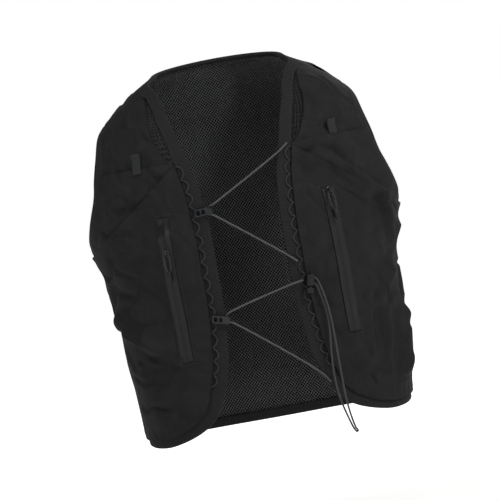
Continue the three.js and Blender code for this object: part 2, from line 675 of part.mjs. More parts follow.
function foldsAt(at, side) {
  const point = onForm(at);
  return FOLDS.filter((fold) => fold.side === side).reduce((sum, fold) => {
    const from = onForm(place(fold.around, fold.height * VEST_LENGTH));
    const to = onForm(place(fold.toAround, fold.toHeight * VEST_LENGTH));
    const nearest = new THREE.Line3(from, to).closestPointToPoint(point, true, new THREE.Vector3());
    const away = nearest.distanceTo(point) / (fold.wide * FOLD_WIDTH);
    return sum + fold.deep * FOLD_DEPTH * Math.exp(-away * away);
  }, 0);
}

// The point over a front at a distance off the form, raised by the puff and the folds.
function raisedOn(side) {
  return (at, distance) => {
    const point = onForm(at);
    const fromEdge = Math.min(...edgePoints.map((p) => p.distanceTo(point))) - TAPE_WIDTH;
    const fromSide = onForm(at).distanceTo(onForm(place(90, at.y)));
    const fade = THREE.MathUtils.smoothstep(Math.min(fromEdge, fromSide), 0, PUFF_FADE);
    return off(at, distance + fade * Math.max(0, PUFF + foldsAt(at, side)));
  };
}

// The point over a sheet's own facets instead of the smooth form, for what is sewn on the sheet.
function overFacets(grid, pointAt) {
  return (at, distance) => {
    const wanted = new THREE.Vector3(at.x, at.y, 0);
    const flat = (p) => new THREE.Vector3(p.x, p.y, 0);
    const share = new THREE.Vector3();
    for (let j = 0; j + 1 < grid.length; j += 1) {
      for (let i = 0; i + 1 < grid[j].length; i += 1) {
        const [a, b, c, d] = [grid[j][i], grid[j][i + 1], grid[j + 1][i], grid[j + 1][i + 1]];
        for (const corners of [[c, b, a], [c, d, b]]) {
          const inside = THREE.Triangle.getBarycoord(wanted, ...corners.map(flat), share);
          if (inside && Math.min(share.x, share.y, share.z) >= -1e-6) {
            const [p, q, r] = corners.map((corner) => pointAt(corner, distance));
            return p.multiplyScalar(share.x).addScaledVector(q, share.y).addScaledVector(r, share.z);
          }
        }
      }
    }
    return pointAt(at, distance);
  };
}

// Turns the wearer's left half of a piece into the right one.
const mirrored = (geometry) => facingOut(geometry.clone().scale(-1, 1, 1));
const onSide = (geometry, side) => (side > 0 ? geometry : mirrored(geometry));

// A frame that stands on a surface: right and up along it, then out of it.
const FRAME_REACH = 4;
function frameOn(pointAt, at, distance, turnDegrees = 0) {
  const out = normalAt(at);
  const level = new THREE.Vector3(-out.y, out.x, 0).normalize();
  const beside = (step) => pointAt(stepFrom(at, level, step), distance);
  const above = (step) => pointAt(place(at.x, at.y + step), distance);
  const right = beside(FRAME_REACH).sub(beside(-FRAME_REACH)).normalize();
  const rise = above(FRAME_REACH).sub(above(-FRAME_REACH));
  const facing = right.clone().cross(rise).normalize();
  const basis = new THREE.Matrix4().makeBasis(right, facing.clone().cross(right), facing);
  basis.multiply(new THREE.Matrix4().makeRotationZ(radians(turnDegrees)));
  return basis.setPosition(pointAt(at, distance));
}

function plainGeometry(geometry) {
  geometry.deleteAttribute('normal');
  geometry.deleteAttribute('uv');
  return mergeVertices(geometry, 1e-4);
}

// An outline drawn to the right and up, with its thickness outwards from the surface.
const ROUND_SEGMENTS = 2;
function raised(shape, from, depth) {
  const geometry = new THREE.ExtrudeGeometry(
    shape, { depth, bevelEnabled: false, curveSegments: ROUND_SEGMENTS });
  return plainGeometry(geometry).translate(0, 0, from);
}

// A profile drawn up and outwards, with its width centred from left to right.
const ACROSS = new THREE.Matrix4().makeBasis(
  new THREE.Vector3(0, 1, 0), new THREE.Vector3(0, 0, 1), new THREE.Vector3(1, 0, 0));
const across = (shape, width) => raised(shape, -width / 2, width).applyMatrix4(ACROSS);

function roundedRectangle(width, height, corner, centreX = 0, centreY = 0) {
  const [x, y] = [width / 2, height / 2];
  const shape = new THREE.Shape();
  [[x - corner, y - corner, 0], [corner - x, y - corner, 1], [corner - x, corner - y, 2],
    [x - corner, corner - y, 3]].forEach(([cx, cy, quarter]) => {
    const start = quarter * Math.PI / 2;
    shape.absarc(centreX + cx, centreY + cy, corner, start, start + Math.PI / 2, false);
  });
  return shape;
}

const polygon = (points) => new THREE.Shape(points.map(([x, y]) => new THREE.Vector2(x, y)));

// A round cord along a smooth run of points.
function cordAlong(points, diameter, steps, sides = 8) {
  const ring = Array.from({ length: sides }, (_, i) => {
    const angle = 2 * Math.PI * i / sides;
    return new THREE.Vector2(diameter / 2 * Math.cos(angle), diameter / 2 * Math.sin(angle));
  });
  const extrudePath = new THREE.CatmullRomCurve3(points, false, 'centripetal');
  return facingOut(plainGeometry(
    new THREE.ExtrudeGeometry(new THREE.Shape(ring), { steps, extrudePath, bevelEnabled: false })));
}

// Solids of the boolean library and back.
function toSolid(geometry) {
  return new wasm.Manifold(new wasm.Mesh({
    numProp: 3,
    vertProperties: new Float32Array(geometry.getAttribute('position').array),
    triVerts: new Uint32Array(geometry.getIndex().array),
  }));
}

function fromSolid(solid) {
  const { vertProperties, triVerts } = solid.getMesh();
  const geometry = new THREE.BufferGeometry();
  geometry.setAttribute('position', new THREE.BufferAttribute(new Float32Array(vertProperties), 3));
  geometry.setIndex(new THREE.BufferAttribute(new Uint32Array(triVerts), 1));
  return geometry;
}

const joined = (first, ...others) => fromSolid(
  others.reduce((solid, geometry) => solid.add(toSolid(geometry)), toSolid(first)));

// The part of a piece inside an outline seen from the front.
function keptInside(geometry, outline) {
  const region = raised(polygon(outline), -CHEST_DEPTH, 2 * CHEST_DEPTH).rotateX(Math.PI / 2);
  return fromSolid(toSolid(geometry).intersect(toSolid(region)));
}

// Grids of the panels
const armInset = ARMHOLE_BINDING_WIDTH + SEAM_GAP;
const gridOf = ({ left, right, top, bottom }, columns, rows) =>
  gridBetween(left, right, top, bottom, columns, rows);
const shellHem = (along) => hemWidth(along) + SEAM_GAP;
const frontGrid = gridOf(
  frontBounds((along) => tapeWidth(along) + SEAM_GAP, shellHem, armInset), FRONT_COLUMNS, FRONT_ROWS);
const crescentBounds = frontBounds(
  (along) => tapeWidth(along) + crescentWidth(along) + SEAM_GAP, shellHem, armInset);
const shellGrid = frontGrid.map((row, j) => [crescentBounds.left(j), ...row.slice(1)]);
const frontLining = bordered(
  frontGrid, frontBounds(() => 0, () => 0, 0), [0, FRONT_ROWS], [0, ARMHOLE_STEPS], false);

const backGrid = gridOf(
  backBounds(NECK_OUTER_WIDTH + SEAM_GAP, armInset, HEM_WIDTH + SEAM_GAP), BACK_COLUMNS, BACK_ROWS);
const backArmRows = [BACK_SHOULDER_STEPS, BACK_SHOULDER_STEPS + ARMHOLE_STEPS];
const backLining = bordered(backGrid, backBounds(0, 0, 0), backArmRows, backArmRows, true);

function addBack() {
  add('back_mesh', sheet(backLining, 0, MESH_THICKNESS, off, true), LINING_MESH);
  add('back_shell', sheet(backGrid, shellInner, shellOuter, off, true), SHELL_CLOTH);
  const neck = bindingRings(backNeck, -1, () => NECK_OUTER_WIDTH, LIP_WIDTH, BACK_COLUMNS,
    [DOWN_SHOULDER, acrossBody(DOWN_SHOULDER)]);
  add('neck_binding', sweep(neck, BINDING_OUTLINE, false, (k) => k >= BACK_COLUMNS / 2), KNIT_TAPE);
  const hem = bindingRings(backHem, 1, () => HEM_WIDTH, HEM_WIDTH, BACK_COLUMNS,
    [UP_SIDE, acrossBody(UP_SIDE)]);
  add('back_hem', sweep(hem, BINDING_OUTLINE, false, (k) => k < BACK_COLUMNS / 2), KNIT_TAPE);
}

// The tape down the front edge and the hem's binding, which starts a seam gap after the corner.
function frontBindings() {
  const placket = bindingRings(
    frontEdge, 1, tapeWidth, LIP_WIDTH, FRONT_ROWS, [DOWN_SHOULDER, AT_CORNER]);
  const start = SEAM_GAP / frontHem.total;
  const hem = bindingRings(frontHem, 1, hemWidth, HEM_WIDTH, FRONT_COLUMNS, [AT_CORNER, UP_SIDE],
    (k) => Math.max(start, k / FRONT_COLUMNS));
  return [sweep(placket, BINDING_OUTLINE, false), sweep(hem, BINDING_OUTLINE, false, () => true)];
}

// The flask pocket's front wall, between its level top edge and its bottom seam.
function flaskPocket(pointAt) {
  const foot = -POCKET_TOP_DROP - FLASK_POCKET_DEPTH;
  return keptInside(sheet(frontGrid, flaskInner, flaskOuter, pointAt), [
    [0, foot], [CHEST_WIDTH, foot], [CHEST_WIDTH, -POCKET_TOP_DROP], [0, -POCKET_TOP_DROP],
  ]);
}

// The zip pocket's front wall, below an edge that falls across from the tape to the underarm.
function zipPocket(pointAt) {
  const half = CHEST_WIDTH / 2;
  const fall = (DIAGONAL_END_DROP - DIAGONAL_START_DROP) / (half - DIAGONAL_START_ACROSS);
  const edgeAt = (x) => -DIAGONAL_START_DROP - fall * (x - DIAGONAL_START_ACROSS);
  return keptInside(sheet(frontGrid, zipPocketInner, zipPocketOuter, pointAt), [
    [0, -VEST_LENGTH], [2 * half, -VEST_LENGTH], [2 * half, edgeAt(2 * half)], [0, edgeAt(0)],
  ]);
}

// A cord sewn down along the tape, bulging towards the opening between stitches.
const DAISY_SAMPLES = 3;
function daisyChain() {
  const radius = DAISY_DIAMETER / 2;
  const count = Math.round((DAISY_TO - DAISY_FROM) * frontEdge.total / DAISY_PITCH);
  const points = Array.from({ length: count * DAISY_SAMPLES + 1 }, (_, k) => {
    const share = mix(DAISY_FROM, DAISY_TO, k / (count * DAISY_SAMPLES));
    const bulge = Math.abs(Math.sin(Math.PI * k / DAISY_SAMPLES));
    const width = tapeWidth(share) - SEAM_GAP - radius - DAISY_REACH * bulge;
    return off(inset(frontEdge, () => width, 1)(share), tapeTop + SEAM_GAP + radius);
  });
  return cordAlong(points, DAISY_DIAMETER, count * DAISY_SAMPLES, 5);
}

// The zip's film and teeth as one strip over the pocket.
const ZIP_ROWS = 12;
const zipStripInner = zipPocketOuter + POCKET_GAP;
const zipStripOuter = zipStripInner + CLOTH_THICKNESS;
function zipPlace({ zipTop, zipAround, zipFootAround }, down, sideways = 0) {
  const at = place(mix(zipAround, zipFootAround, down), zipTop * VEST_LENGTH - down * ZIP_LENGTH);
  const out = normalAt(at);
  return stepFrom(at, new THREE.Vector3(-out.y, out.x, 0).normalize(), sideways);
}

function zipStrip(front, overPocket) {
  const grid = Array.from({ length: ZIP_ROWS + 1 }, (_, j) => [-0.5, 0, 0.5].map((sideways) =>
    zipPlace(front, j / ZIP_ROWS, sideways * ZIP_TAPE_WIDTH)));
  return sheet(grid, zipStripInner, zipStripOuter, overPocket);
}

// A slider with a bridge, whose eye takes the pull's cord from side to side.
const eyeHeight = PULL_CORD_DIAMETER + 2 * RUNNING_CLEARANCE;
const cordCentre = SLIDER_THICKNESS + eyeHeight / 2;
function zipSlider() {
  const plate = raised(roundedRectangle(SLIDER_WIDTH, SLIDER_LENGTH, SLIDER_WIDTH / 4), 0, SLIDER_THICKNESS);
  const half = PULL_CORD_DIAMETER / 2 + 3 * RUNNING_CLEARANCE;
  const outer = half + BRIDGE_THICKNESS;
  const [foot, roof] = [SLIDER_THICKNESS / 2, SLIDER_THICKNESS + eyeHeight];
  const top = roof + BRIDGE_THICKNESS;
  const bridge = across(polygon([
    [-outer, foot], [-half, foot], [-half, roof], [half, roof], [half, foot], [outer, foot],
    [outer, roof], [half, top], [-half, top], [-outer, roof],
  ]), BRIDGE_WIDTH);
  return joined(plate, bridge);
}

// The pull's cord, from one side of the moulded end up through the bridge and back.
const PULL_STEPS = 14;
function pullCord() {
  const side = PULL_LOOP_WIDTH / 2;
  const foot = (PULL_END_WIDTH - PULL_CORD_DIAMETER) / 2;
  const points = [
    [-foot, -1], [-side, -0.7], [-side, -0.3], [-side * 0.8, -0.08], [0, 0],
    [side * 0.8, -0.08], [side, -0.3], [side, -0.7], [foot, -1],
  ].map(([x, down]) => new THREE.Vector3(x, down * PULL_LOOP_LENGTH, cordCentre));
  return cordAlong(points, PULL_CORD_DIAMETER, PULL_STEPS, 6);
}

function pullEnd() {
  const middle = -PULL_LOOP_LENGTH - SEAM_GAP - PULL_END_LENGTH / 2;
  return raised(
    roundedRectangle(PULL_END_WIDTH, PULL_END_LENGTH, PULL_END_WIDTH / 3, 0, middle),
    cordCentre - PULL_END_THICKNESS / 2, PULL_END_THICKNESS);
}

// A tab of folded webbing sewn to the flask pocket's top edge, with a small eye at its fold.
function webbingLoop() {
  const stack = 2 * CLOTH_THICKNESS;
  const eye = LOOP_EYE / 2;
  const rim = eye + CLOTH_THICKNESS;
  const centre = LOOP_HEIGHT - LOOP_LAP - rim;
  const profile = new THREE.Shape();
  profile.moveTo(-LOOP_LAP, 0);
  profile.lineTo(centre, 0);
  profile.absarc(centre, rim, rim, -Math.PI / 2, Math.PI * 0.75, false);
  profile.lineTo(centre - 2 * rim, stack);
  profile.lineTo(-LOOP_LAP, stack);
  const hole = new THREE.Path();
  hole.absarc(centre, rim, eye, 0, 2 * Math.PI, true);
  profile.holes.push(hole);
  return across(profile, LOOP_WEBBING_WIDTH);
}

function addFront(front) {
  const { name, side } = front;
  const piece = (label, geometry, look) => add(`${name}_${label}`, onSide(geometry, side), look);
  const onShell = raisedOn(side);
  const onFacets = overFacets(frontGrid, onShell);
  const [placket, hem] = frontBindings();

  piece('front_mesh', sheet(frontLining, 0, MESH_THICKNESS), LINING_MESH);
  piece('front_shell', sheet(shellGrid, shellInner, shellOuter, onShell), SHELL_CLOTH);
  piece('flask_pocket', flaskPocket(onShell), SHELL_CLOTH);
  piece('zip_pocket', zipPocket(onShell), SHELL_CLOTH);
  piece('placket_tape', placket, KNIT_TAPE);
  piece('front_hem', hem, KNIT_TAPE);
  piece('armhole_binding', armholeBinding(), KNIT_TAPE);
  piece('daisy_chain', daisyChain(), CORD);

  piece('zip_tape', zipStrip(front, onFacets), ZIP_FILM);
  const sliderFrame = frameOn(
    onFacets, zipPlace(front, front.slider), zipStripOuter + RUNNING_CLEARANCE, side * front.lean);
  const onSlider = (geometry) => geometry.applyMatrix4(sliderFrame);
  piece('zip_slider', onSlider(zipSlider()), BLACK_METAL);
  piece('zip_pull_cord', onSlider(pullCord()), CORD);
  piece('zip_pull_end', onSlider(pullEnd()), BLACK_PLASTIC);

  const loopAt = place(front.loopAround, -POCKET_TOP_DROP - SEAM_GAP);
  const loopFrame = frameOn(onFacets, loopAt, flaskOuter + SEAM_GAP);
  piece('webbing_loop', webbingLoop().applyMatrix4(loopFrame), WEBBING);
}

// Half the width of the opening between the fronts at a height.
function openingAt(z) {
  const below = edgePoints.findIndex((p) => p.z <= z);
  const [high, low] = [edgePoints[below - 1], edgePoints[below]];
  return mix(high.x, low.x, (high.z - z) / (high.z - low.z));
}
const hardwareOff = tapeTop + 2 * SEAM_GAP + DAISY_DIAMETER;

// A flat hook with two slots, which clips over a loop of the daisy chain and carries the lace.
function addHook({ name, past, height, turn }) {
  const z = height * VEST_LENGTH;
  const at = frontPlace(openingAt(z) + past * HOOK_LENGTH, z);
  const outline = roundedRectangle(HOOK_LENGTH, HOOK_HEIGHT, HOOK_CORNER);
  HOOK_SLOTS.forEach(({ from, to }) => {
    const centre = ((from + to) / 2 - 0.5) * HOOK_LENGTH;
    outline.holes.push(roundedRectangle(
      (to - from) * HOOK_LENGTH, HOOK_HEIGHT - 2 * HOOK_RIM, HOOK_CORNER / 2, centre));
  });
  const frame = frameOn(off, place(-at.x, at.y), hardwareOff, turn);
  add(name, raised(outline, 0, HOOK_THICKNESS).applyMatrix4(frame), BLACK_METAL);
}

// A sprung cord lock: a body with a ring on top, and a button whose stem slides up into it.
function addLock() {
  const at = frontPlace(LOCK_PLACE.across * CHEST_WIDTH / 2, LOCK_PLACE.height * VEST_LENGTH);
  const out = normalAt(at).setZ(0).normalize();
  const frame = new THREE.Matrix4().makeBasis(
    new THREE.Vector3(-out.y, out.x, 0), new THREE.Vector3(0, 0, 1), out);
  frame.multiply(new THREE.Matrix4().makeRotationZ(-radians(LOCK_TILT_DEG)));
  const farSide = stepFrom(at, new THREE.Vector3(1, 0, 0), LOCK_WIDTH);
  const lift = raisedOn(1)(farSide, 0).distanceTo(onForm(farSide));
  frame.setPosition(off(at, zipPocketOuter + lift + 2 * RUNNING_CLEARANCE));

  const pocketHeight = STEM_ENGAGEMENT + BUTTON_TRAVEL + RUNNING_CLEARANCE;
  const middle = LOCK_DEPTH / 2;
  const block = raised(roundedRectangle(LOCK_WIDTH, LOCK_HEIGHT, LOCK_CORNER), 0, LOCK_DEPTH);
  const ringX = LOCK_WIDTH / 2 - RING_RADIUS / 2;
  const ringY = LOCK_HEIGHT / 2 + RING_RADIUS - RING_WIRE / 2;
  const ring = new THREE.Shape().absarc(ringX, ringY, RING_RADIUS, 0, 2 * Math.PI, false);
  ring.holes.push(new THREE.Path().absarc(ringX, ringY, RING_RADIUS - RING_WIRE, 0, 2 * Math.PI, true));
  const pocket = new THREE.BoxGeometry(
    STEM_WIDTH + 2 * RUNNING_CLEARANCE, 2 * pocketHeight, STEM_DEPTH + 2 * RUNNING_CLEARANCE);
  pocket.translate(0, -LOCK_HEIGHT / 2, middle);
  const body = toSolid(joined(block, raised(ring, middle - RING_DEPTH / 2, RING_DEPTH)));
  add('lock_body', fromSolid(body.subtract(toSolid(plainGeometry(pocket)))).applyMatrix4(frame),
    BLACK_PLASTIC);

  const headTop = -LOCK_HEIGHT / 2 - BUTTON_TRAVEL - RUNNING_CLEARANCE;
  const head = raised(roundedRectangle(
    LOCK_WIDTH, BUTTON_HEAD_HEIGHT, LOCK_CORNER, 0, headTop - BUTTON_HEAD_HEIGHT / 2), 0, LOCK_DEPTH);
  const stemTop = STEM_ENGAGEMENT - LOCK_HEIGHT / 2;
  const stemFoot = headTop - BUTTON_HEAD_HEIGHT / 2;
  const stem = new THREE.BoxGeometry(STEM_WIDTH, stemTop - stemFoot, STEM_DEPTH);
  stem.translate(0, (stemTop + stemFoot) / 2, middle);
  add('lock_button', joined(head, plainGeometry(stem)).applyMatrix4(frame), BLACK_PLASTIC);
}

// Lacing drawn tight between the hooks, the daisy chain and the lock.
const LACE_STEPS = 26;
function addLace(name, rows) {
  const points = rows.map(({ x, z, off: distance }) => off(
    place(Math.sign(x) * frontPlace(Math.abs(x), z).x, z), distance));
  add(name, cordAlong(points, LACE_DIAMETER, LACE_STEPS), CORD);
}

addBack();
FRONTS.forEach(addFront);
HOOKS.forEach(addHook);
addLock();
addLace('upper_lace', UPPER_LACE);
addLace('lower_lace', LOWER_LACE);
add('tail_cord', cordAlong(
  TAIL_CORD.map((point) => new THREE.Vector3(...point)), LACE_DIAMETER, TAIL_STEPS), CORD);

export default vest;
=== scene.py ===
"""Running hydration vest in its worn shape, with its cloth, zips, cords and lighting."""
import math

import bmesh
import bpy
import numpy as np
from bpy.props import FloatProperty, FloatVectorProperty, PointerProperty
from mathutils import Matrix, Vector, noise


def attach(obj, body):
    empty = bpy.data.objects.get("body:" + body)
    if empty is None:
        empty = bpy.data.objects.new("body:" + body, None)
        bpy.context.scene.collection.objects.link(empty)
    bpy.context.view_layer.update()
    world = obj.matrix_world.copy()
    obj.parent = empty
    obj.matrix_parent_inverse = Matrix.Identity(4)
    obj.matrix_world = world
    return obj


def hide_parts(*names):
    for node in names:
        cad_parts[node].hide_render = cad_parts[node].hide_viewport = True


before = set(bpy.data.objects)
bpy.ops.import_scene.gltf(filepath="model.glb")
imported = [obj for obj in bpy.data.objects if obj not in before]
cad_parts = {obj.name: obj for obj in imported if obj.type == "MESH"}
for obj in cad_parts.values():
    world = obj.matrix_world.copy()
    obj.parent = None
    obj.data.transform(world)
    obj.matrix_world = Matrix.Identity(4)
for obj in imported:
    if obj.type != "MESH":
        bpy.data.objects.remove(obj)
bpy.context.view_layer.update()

bl_info = {
    "name": "Running hydration vest",
    "version": (1, 0, 0),
    "blender": (4, 5, 0),
    "location": "3D View > Sidebar > Vest",
    "description": "Makes the cloth, zips and cords of a running hydration vest on its CAD frame",
    "category": "Object",
}

MM = 0.001


def linear(code):
    """The linear colour of an sRGB hex value."""
    parts = [int(code[i:i + 2], 16) / 255 for i in (1, 3, 5)]
    return tuple(c / 12.92 if c <= 0.04045 else ((c + 0.055) / 1.055) ** 2.4 for c in parts)


# Sizes and colours that a user would change
class VestSizes(bpy.types.PropertyGroup):
    thread: FloatProperty(
        name="Thread", description="Width of the sewing thread", default=0.5 * MM, unit="LENGTH")
    stitch: FloatProperty(
        name="Stitch", description="Length from stitch to stitch", default=3.4 * MM, unit="LENGTH")
    cloth: FloatProperty(
        name="Cloth", description="Thickness of the woven cloth", default=0.7 * MM, unit="LENGTH")
    hole_across: FloatProperty(
        name="Hole across", description="Distance from hole to hole along a row of the mesh",
        default=3.9 * MM, unit="LENGTH")
    hole_rows: FloatProperty(
        name="Hole rows", description="Distance between two rows of holes of the mesh",
        default=2.2 * MM, unit="LENGTH")
    hole_share: FloatProperty(
        name="Hole share", description="Size of a hole in its cell of the mesh", default=0.78,
        min=0.1, max=0.9, subtype="FACTOR")
    knit: FloatProperty(
        name="Knit", description="Thickness of the mesh's strands", default=1.0 * MM, unit="LENGTH")
    teeth: FloatProperty(
        name="Teeth", description="Distance between the zip's teeth", default=1.5 * MM,
        unit="LENGTH")


def colour_property(name, code, description):
    return FloatVectorProperty(
        name=name, description=description, default=linear(code), size=3, min=0, max=1,
        subtype="COLOR")


class VestColours(bpy.types.PropertyGroup):
    shell: colour_property("Shell", "#191a19", "Woven shell cloth")
    lining: colour_property("Lining", "#4e4f4f", "Strands of the back's mesh lining")
    # Painted shade: the fronts' mesh is the same knit as the back's lining, in a darker colour that
    # stands in for shade
    front_lining: colour_property("Front lining", "#252525", "Strands of the fronts' mesh lining")
    # Painted shade: the back shell's inner face, seen through the mesh's holes, is darkened to
    # stand in for the shade inside the vest
    underside: colour_property("Underside", "#090909", "Inner face of the back's shell")
    tape: colour_property("Tape", "#1d1d1d", "Knitted bindings")
    webbing: colour_property("Webbing", "#1f2020", "Webbing loops")
    film: colour_property("Film", "#0c0c0c", "Coated zip tapes")
    cord: colour_property("Cord", "#3c3d3f", "Lacing and the free cord")
    tail: colour_property("Tail", "#2a2b2c", "The free loop of cord")
    daisy: colour_property("Daisy chain", "#111112", "Daisy chains and pull cords")
    metal: colour_property("Metal", "#2c2d2f", "Hooks and sliders")
    plastic: colour_property("Plastic", "#0b0b0c", "Cord lock and pulls")
    thread: colour_property("Thread", "#1d1e1e", "Sewing thread")
    floor: colour_property("Floor", "#f4f4f2", "Studio floor")


# The worn form, in millimetres, as the CAD source has it
VEST_LENGTH = 448
CHEST_WIDTH = 370
CHEST_DEPTH = 224
NECK_WIDTH = 154
NECK_RISE = 26
BACK_NECK_RISE = 10
SHOULDER_DROP = 28
ARMHOLE_HEIGHT = 133
ARMHOLE_FRONT_REACH = 53
ARMHOLE_BACK_REACH = 46
MESH_THICKNESS = 2
SEAM_GAP = 0.3
TAPE_WIDTH = 17
LIP_WIDTH = 3
CRESCENT_WIDTH = 14
HEM_WIDTH = 10
NECK_OUTER_WIDTH = 9
ARMHOLE_BINDING_WIDTH = 10.5
PUFF = 3
PUFF_FADE = 34
POCKET_TOP_DROP = 78
FLASK_POCKET_DEPTH = 160
DIAGONAL_START = (72, -84)
DIAGONAL_END = (185, -174)
ZIP_LENGTH = 168
ZIP_TAPE_WIDTH = 13.5
DAISY_DIAMETER = 1.8
DAISY_REACH = 6.3
DAISY_PITCH = 17
DAISY_FROM = 0.335
DAISY_TO = 0.90
LACE_DIAMETER = 2.2
TAPE_TOP = 3.5
SHELL_INNER = 2.5
FLASK_INNER = 4.0
ZIP_POCKET_INNER = 5.8
ZIP_STRIP_INNER = 7.6

# Sections of the form: height, spread, front, back, round
SECTIONS = np.array([
    (-0.920, 0.73, 0.91, 0.94, 2.3), (-0.737, 0.77, 0.93, 0.91, 2.3),
    (-0.580, 0.80, 0.96, 0.91, 2.3), (-0.446, 0.86, 1.00, 0.95, 2.3),
    (-0.335, 1.00, 1.00, 1.00, 2.3), (-0.201, 0.96, 0.96, 1.02, 2.3),
    (-0.112, 0.81, 0.88, 0.99, 2.3), (-0.063, 0.66, 0.80, 0.96, 2.3),
    (-0.031, 0.53, 0.74, 0.92, 2.3), (0.000, 0.36, 0.66, 0.87, 2.25),
    (0.027, 0.20, 0.57, 0.81, 2.2), (0.058, 0.00, 0.46, 0.73, 2.2),
    (0.080, -0.03, 0.41, 0.68, 2.2),
])
# Front edge from the neck point to the rounded corner: height and degrees around
FRONT_EDGE = [
    (0.013, 56), (-0.007, 49), (-0.027, 44), (-0.054, 40.5), (-0.078, 37), (-0.107, 33.5),
    (-0.143, 30.5), (-0.205, 26), (-0.246, 23.6), (-0.297, 22), (-0.368, 21), (-0.446, 21),
    (-0.531, 21.5), (-0.589, 22.5), (-0.647, 24), (-0.719, 26.5), (-0.786, 31.5), (-0.837, 37),
]
FRONT_HEM = [(-0.862, 42), (-0.881, 49), (-0.896, 57), (-0.905, 65), (-0.906, 74), (-0.903, 82),
             (-0.900, 90)]
BACK_HEM_SAG = 0.020
# Along the front edge: tape's share of its width, bare crescent's share of its width
EDGE_WIDTHS = np.array([
    (0.00, 0.74, 0.00), (0.10, 0.74, 0.00), (0.15, 0.74, 0.40), (0.20, 0.74, 0.85),
    (0.25, 0.76, 1.00), (0.29, 0.78, 0.80), (0.33, 0.82, 0.25), (0.36, 0.86, 0.00),
    (0.45, 1.00, 0.00), (0.90, 1.00, 0.00), (1.00, 0.80, 0.00),
])
HEM_START_SHARE = 0.80
HEM_BLEND = 0.4
# Armhole from the shoulder tip to the underarm: share down, share of the reach
ARMHOLE = [(0, 0), (0.035, 0.28), (0.10, 0.57), (0.21, 0.83), (0.36, 1), (0.52, 1), (0.64, 0.90),
           (0.78, 0.71), (0.89, 0.50), (0.965, 0.27), (1, 0)]
FOLD_GAIN = 2.2
LEAST_LIFT = -0.3
# Folds from one point to the other: side, x, z, to x, to z, depth and half width in millimetres
FOLDS = [
    (-1, 148, -18, 114, -36, -2.8, 10), (-1, 160, -36, 104, -65, -3.6, 13),
    (-1, 121, -80, 98, -115, -2.8, 12), (-1, 115, -134, 80, -134, -2.8, 10),
    (-1, 160, -269, 125, -316, -4.0, 15), (-1, 158, -251, 125, -298, 3.6, 15),
    (1, 80, -123, 100, -123, -2.4, 10), (1, 160, -155, 172, -217, 4.0, 13),
    (1, 158, -305, 150, -381, 3.6, 13), (1, 105, -381, 124, -394, -2.4, 12),
    (-1, 121, -14, 102, -31, -1.2, 4), (-1, 139, -31, 92, -60, -2.0, 5),
    (-1, 139, -38, 92, -68, 1.8, 5), (-1, 125, -75, 98, -110, 1.8, 5),
    (-1, 150, -75, 141, -104, -1.8, 5), (-1, 116, -128, 75, -128, 1.2, 4),
    (-1, 127, -140, 92, -137, -1.6, 4), (-1, 153, -214, 139, -221, -1.8, 5),
    (-1, 156, -270, 139, -287, -2.4, 5), (-1, 139, -287, 121, -301, -2.6, 5),
    (-1, 121, -301, 104, -308, -1.8, 5), (-1, 150, -258, 118, -288, 1.8, 6),
    (1, 79, -117, 104, -118, -1.2, 4), (1, 156, -151, 162, -212, 1.8, 6),
    (1, 150, -160, 154, -220, -1.8, 6), (1, 146, -300, 140, -364, -2.0, 7),
    (1, 156, -320, 146, -380, 1.6, 6), (1, 83, -372, 116, -388, -1.2, 5),
    (-1, 136, -42, 81, -89, 1.8, 4), (-1, 132, -48, 85, -98, -1.8, 4),
    (-1, 99, -41, 74, -78, -1.6, 4), (-1, 115, -23, 92, -42, 1.8, 5),
    (-1, 153, -122, 99, -107, 1.6, 5), (-1, 161, -138, 92, -111, -1.8, 4),
    (-1, 151, -191, 91, -158, 1.8, 7), (-1, 155, -175, 98, -142, -1.4, 5),
    (-1, 157, -209, 161, -258, -1.6, 6), (-1, 150, -281, 120, -302, -2.2, 5),
    (-1, 147, -304, 98, -306, 1.8, 5), (-1, 148, -267, 105, -290, 1.4, 6),
    (-1, 129, -234, 130, -292, 1.2, 8), (1, 152, -246, 127, -281, 1.8, 6),
    (1, 128, -271, 126, -344, -1.8, 6), (1, 121, -260, 115, -332, 1.8, 6),
    (1, 142, -289, 132, -360, 1.8, 6), (1, 112, -200, 107, -267, 1.2, 8),
    (1, 113, -87, 132, -118, 1.4, 5), (1, 90, -108, 123, -138, -1.2, 5),
    (1, 115, -357, 139, -386, -1.8, 5), (1, 102, -306, 110, -371, 1.2, 8),
    (1, 129, -41, 143, -83, -1.2, 6), (1, 96, -21, 122, -40, -1.0, 6),
]
FRONTS = [
    dict(name="left", side=1, zip_top=-0.306, zip_around=44.4, zip_foot=48.4),
    dict(name="right", side=-1, zip_top=-0.308, zip_around=41.7, zip_foot=44.7),
]
# The free loop of cord below the lock, the same points as in the CAD source
TAIL_CORD = [
    (67.6, -114.2, -235.2), (70.3, -114.4, -238.6), (72.6, -114.7, -246), (75.2, -114.6, -258),
    (77.3, -114.2, -272), (78.4, -113.4, -290), (78.7, -112.6, -312), (78.6, -112.2, -340),
    (78.7, -112, -366), (79.6, -112, -387), (81.9, -112, -405), (84.2, -112, -415.5),
    (86.0, -112, -419.6), (84.6, -111.4, -420.6), (82.0, -111, -416.5), (77.3, -111, -401),
    (72.9, -111, -382), (70.8, -111, -364), (70.6, -111, -341), (72.4, -111, -318),
    (74.4, -110.9, -300), (75.0, -110.9, -284), (73.4, -111.4, -267), (71.0, -112.6, -255),
    (69.0, -113.7, -246.6), (66.6, -114.3, -242.0),
]
# Taut lacing: x, z and distance off the form
UPPER_LACE = [(63, -78, 6.9), (54, -84.5, 5.6), (-31, -131, 4.6), (-38, -134.5, 4.3),
              (-39, -138, 4.3), (-37.5, -141.5, 4.3), (-31, -146, 4.6), (40, -203, 5.6),
              (51, -213, 6.9)]
LOWER_LACE = [(52.6, -235, 10.4), (41, -237.5, 7), (-31, -256, 4.6), (-38.5, -259.5, 4.3),
              (-40, -263, 4.3), (-39.5, -267, 4.3), (-31, -272.5, 4.6), (56, -347, 5.6),
              (64, -359, 6.9)]


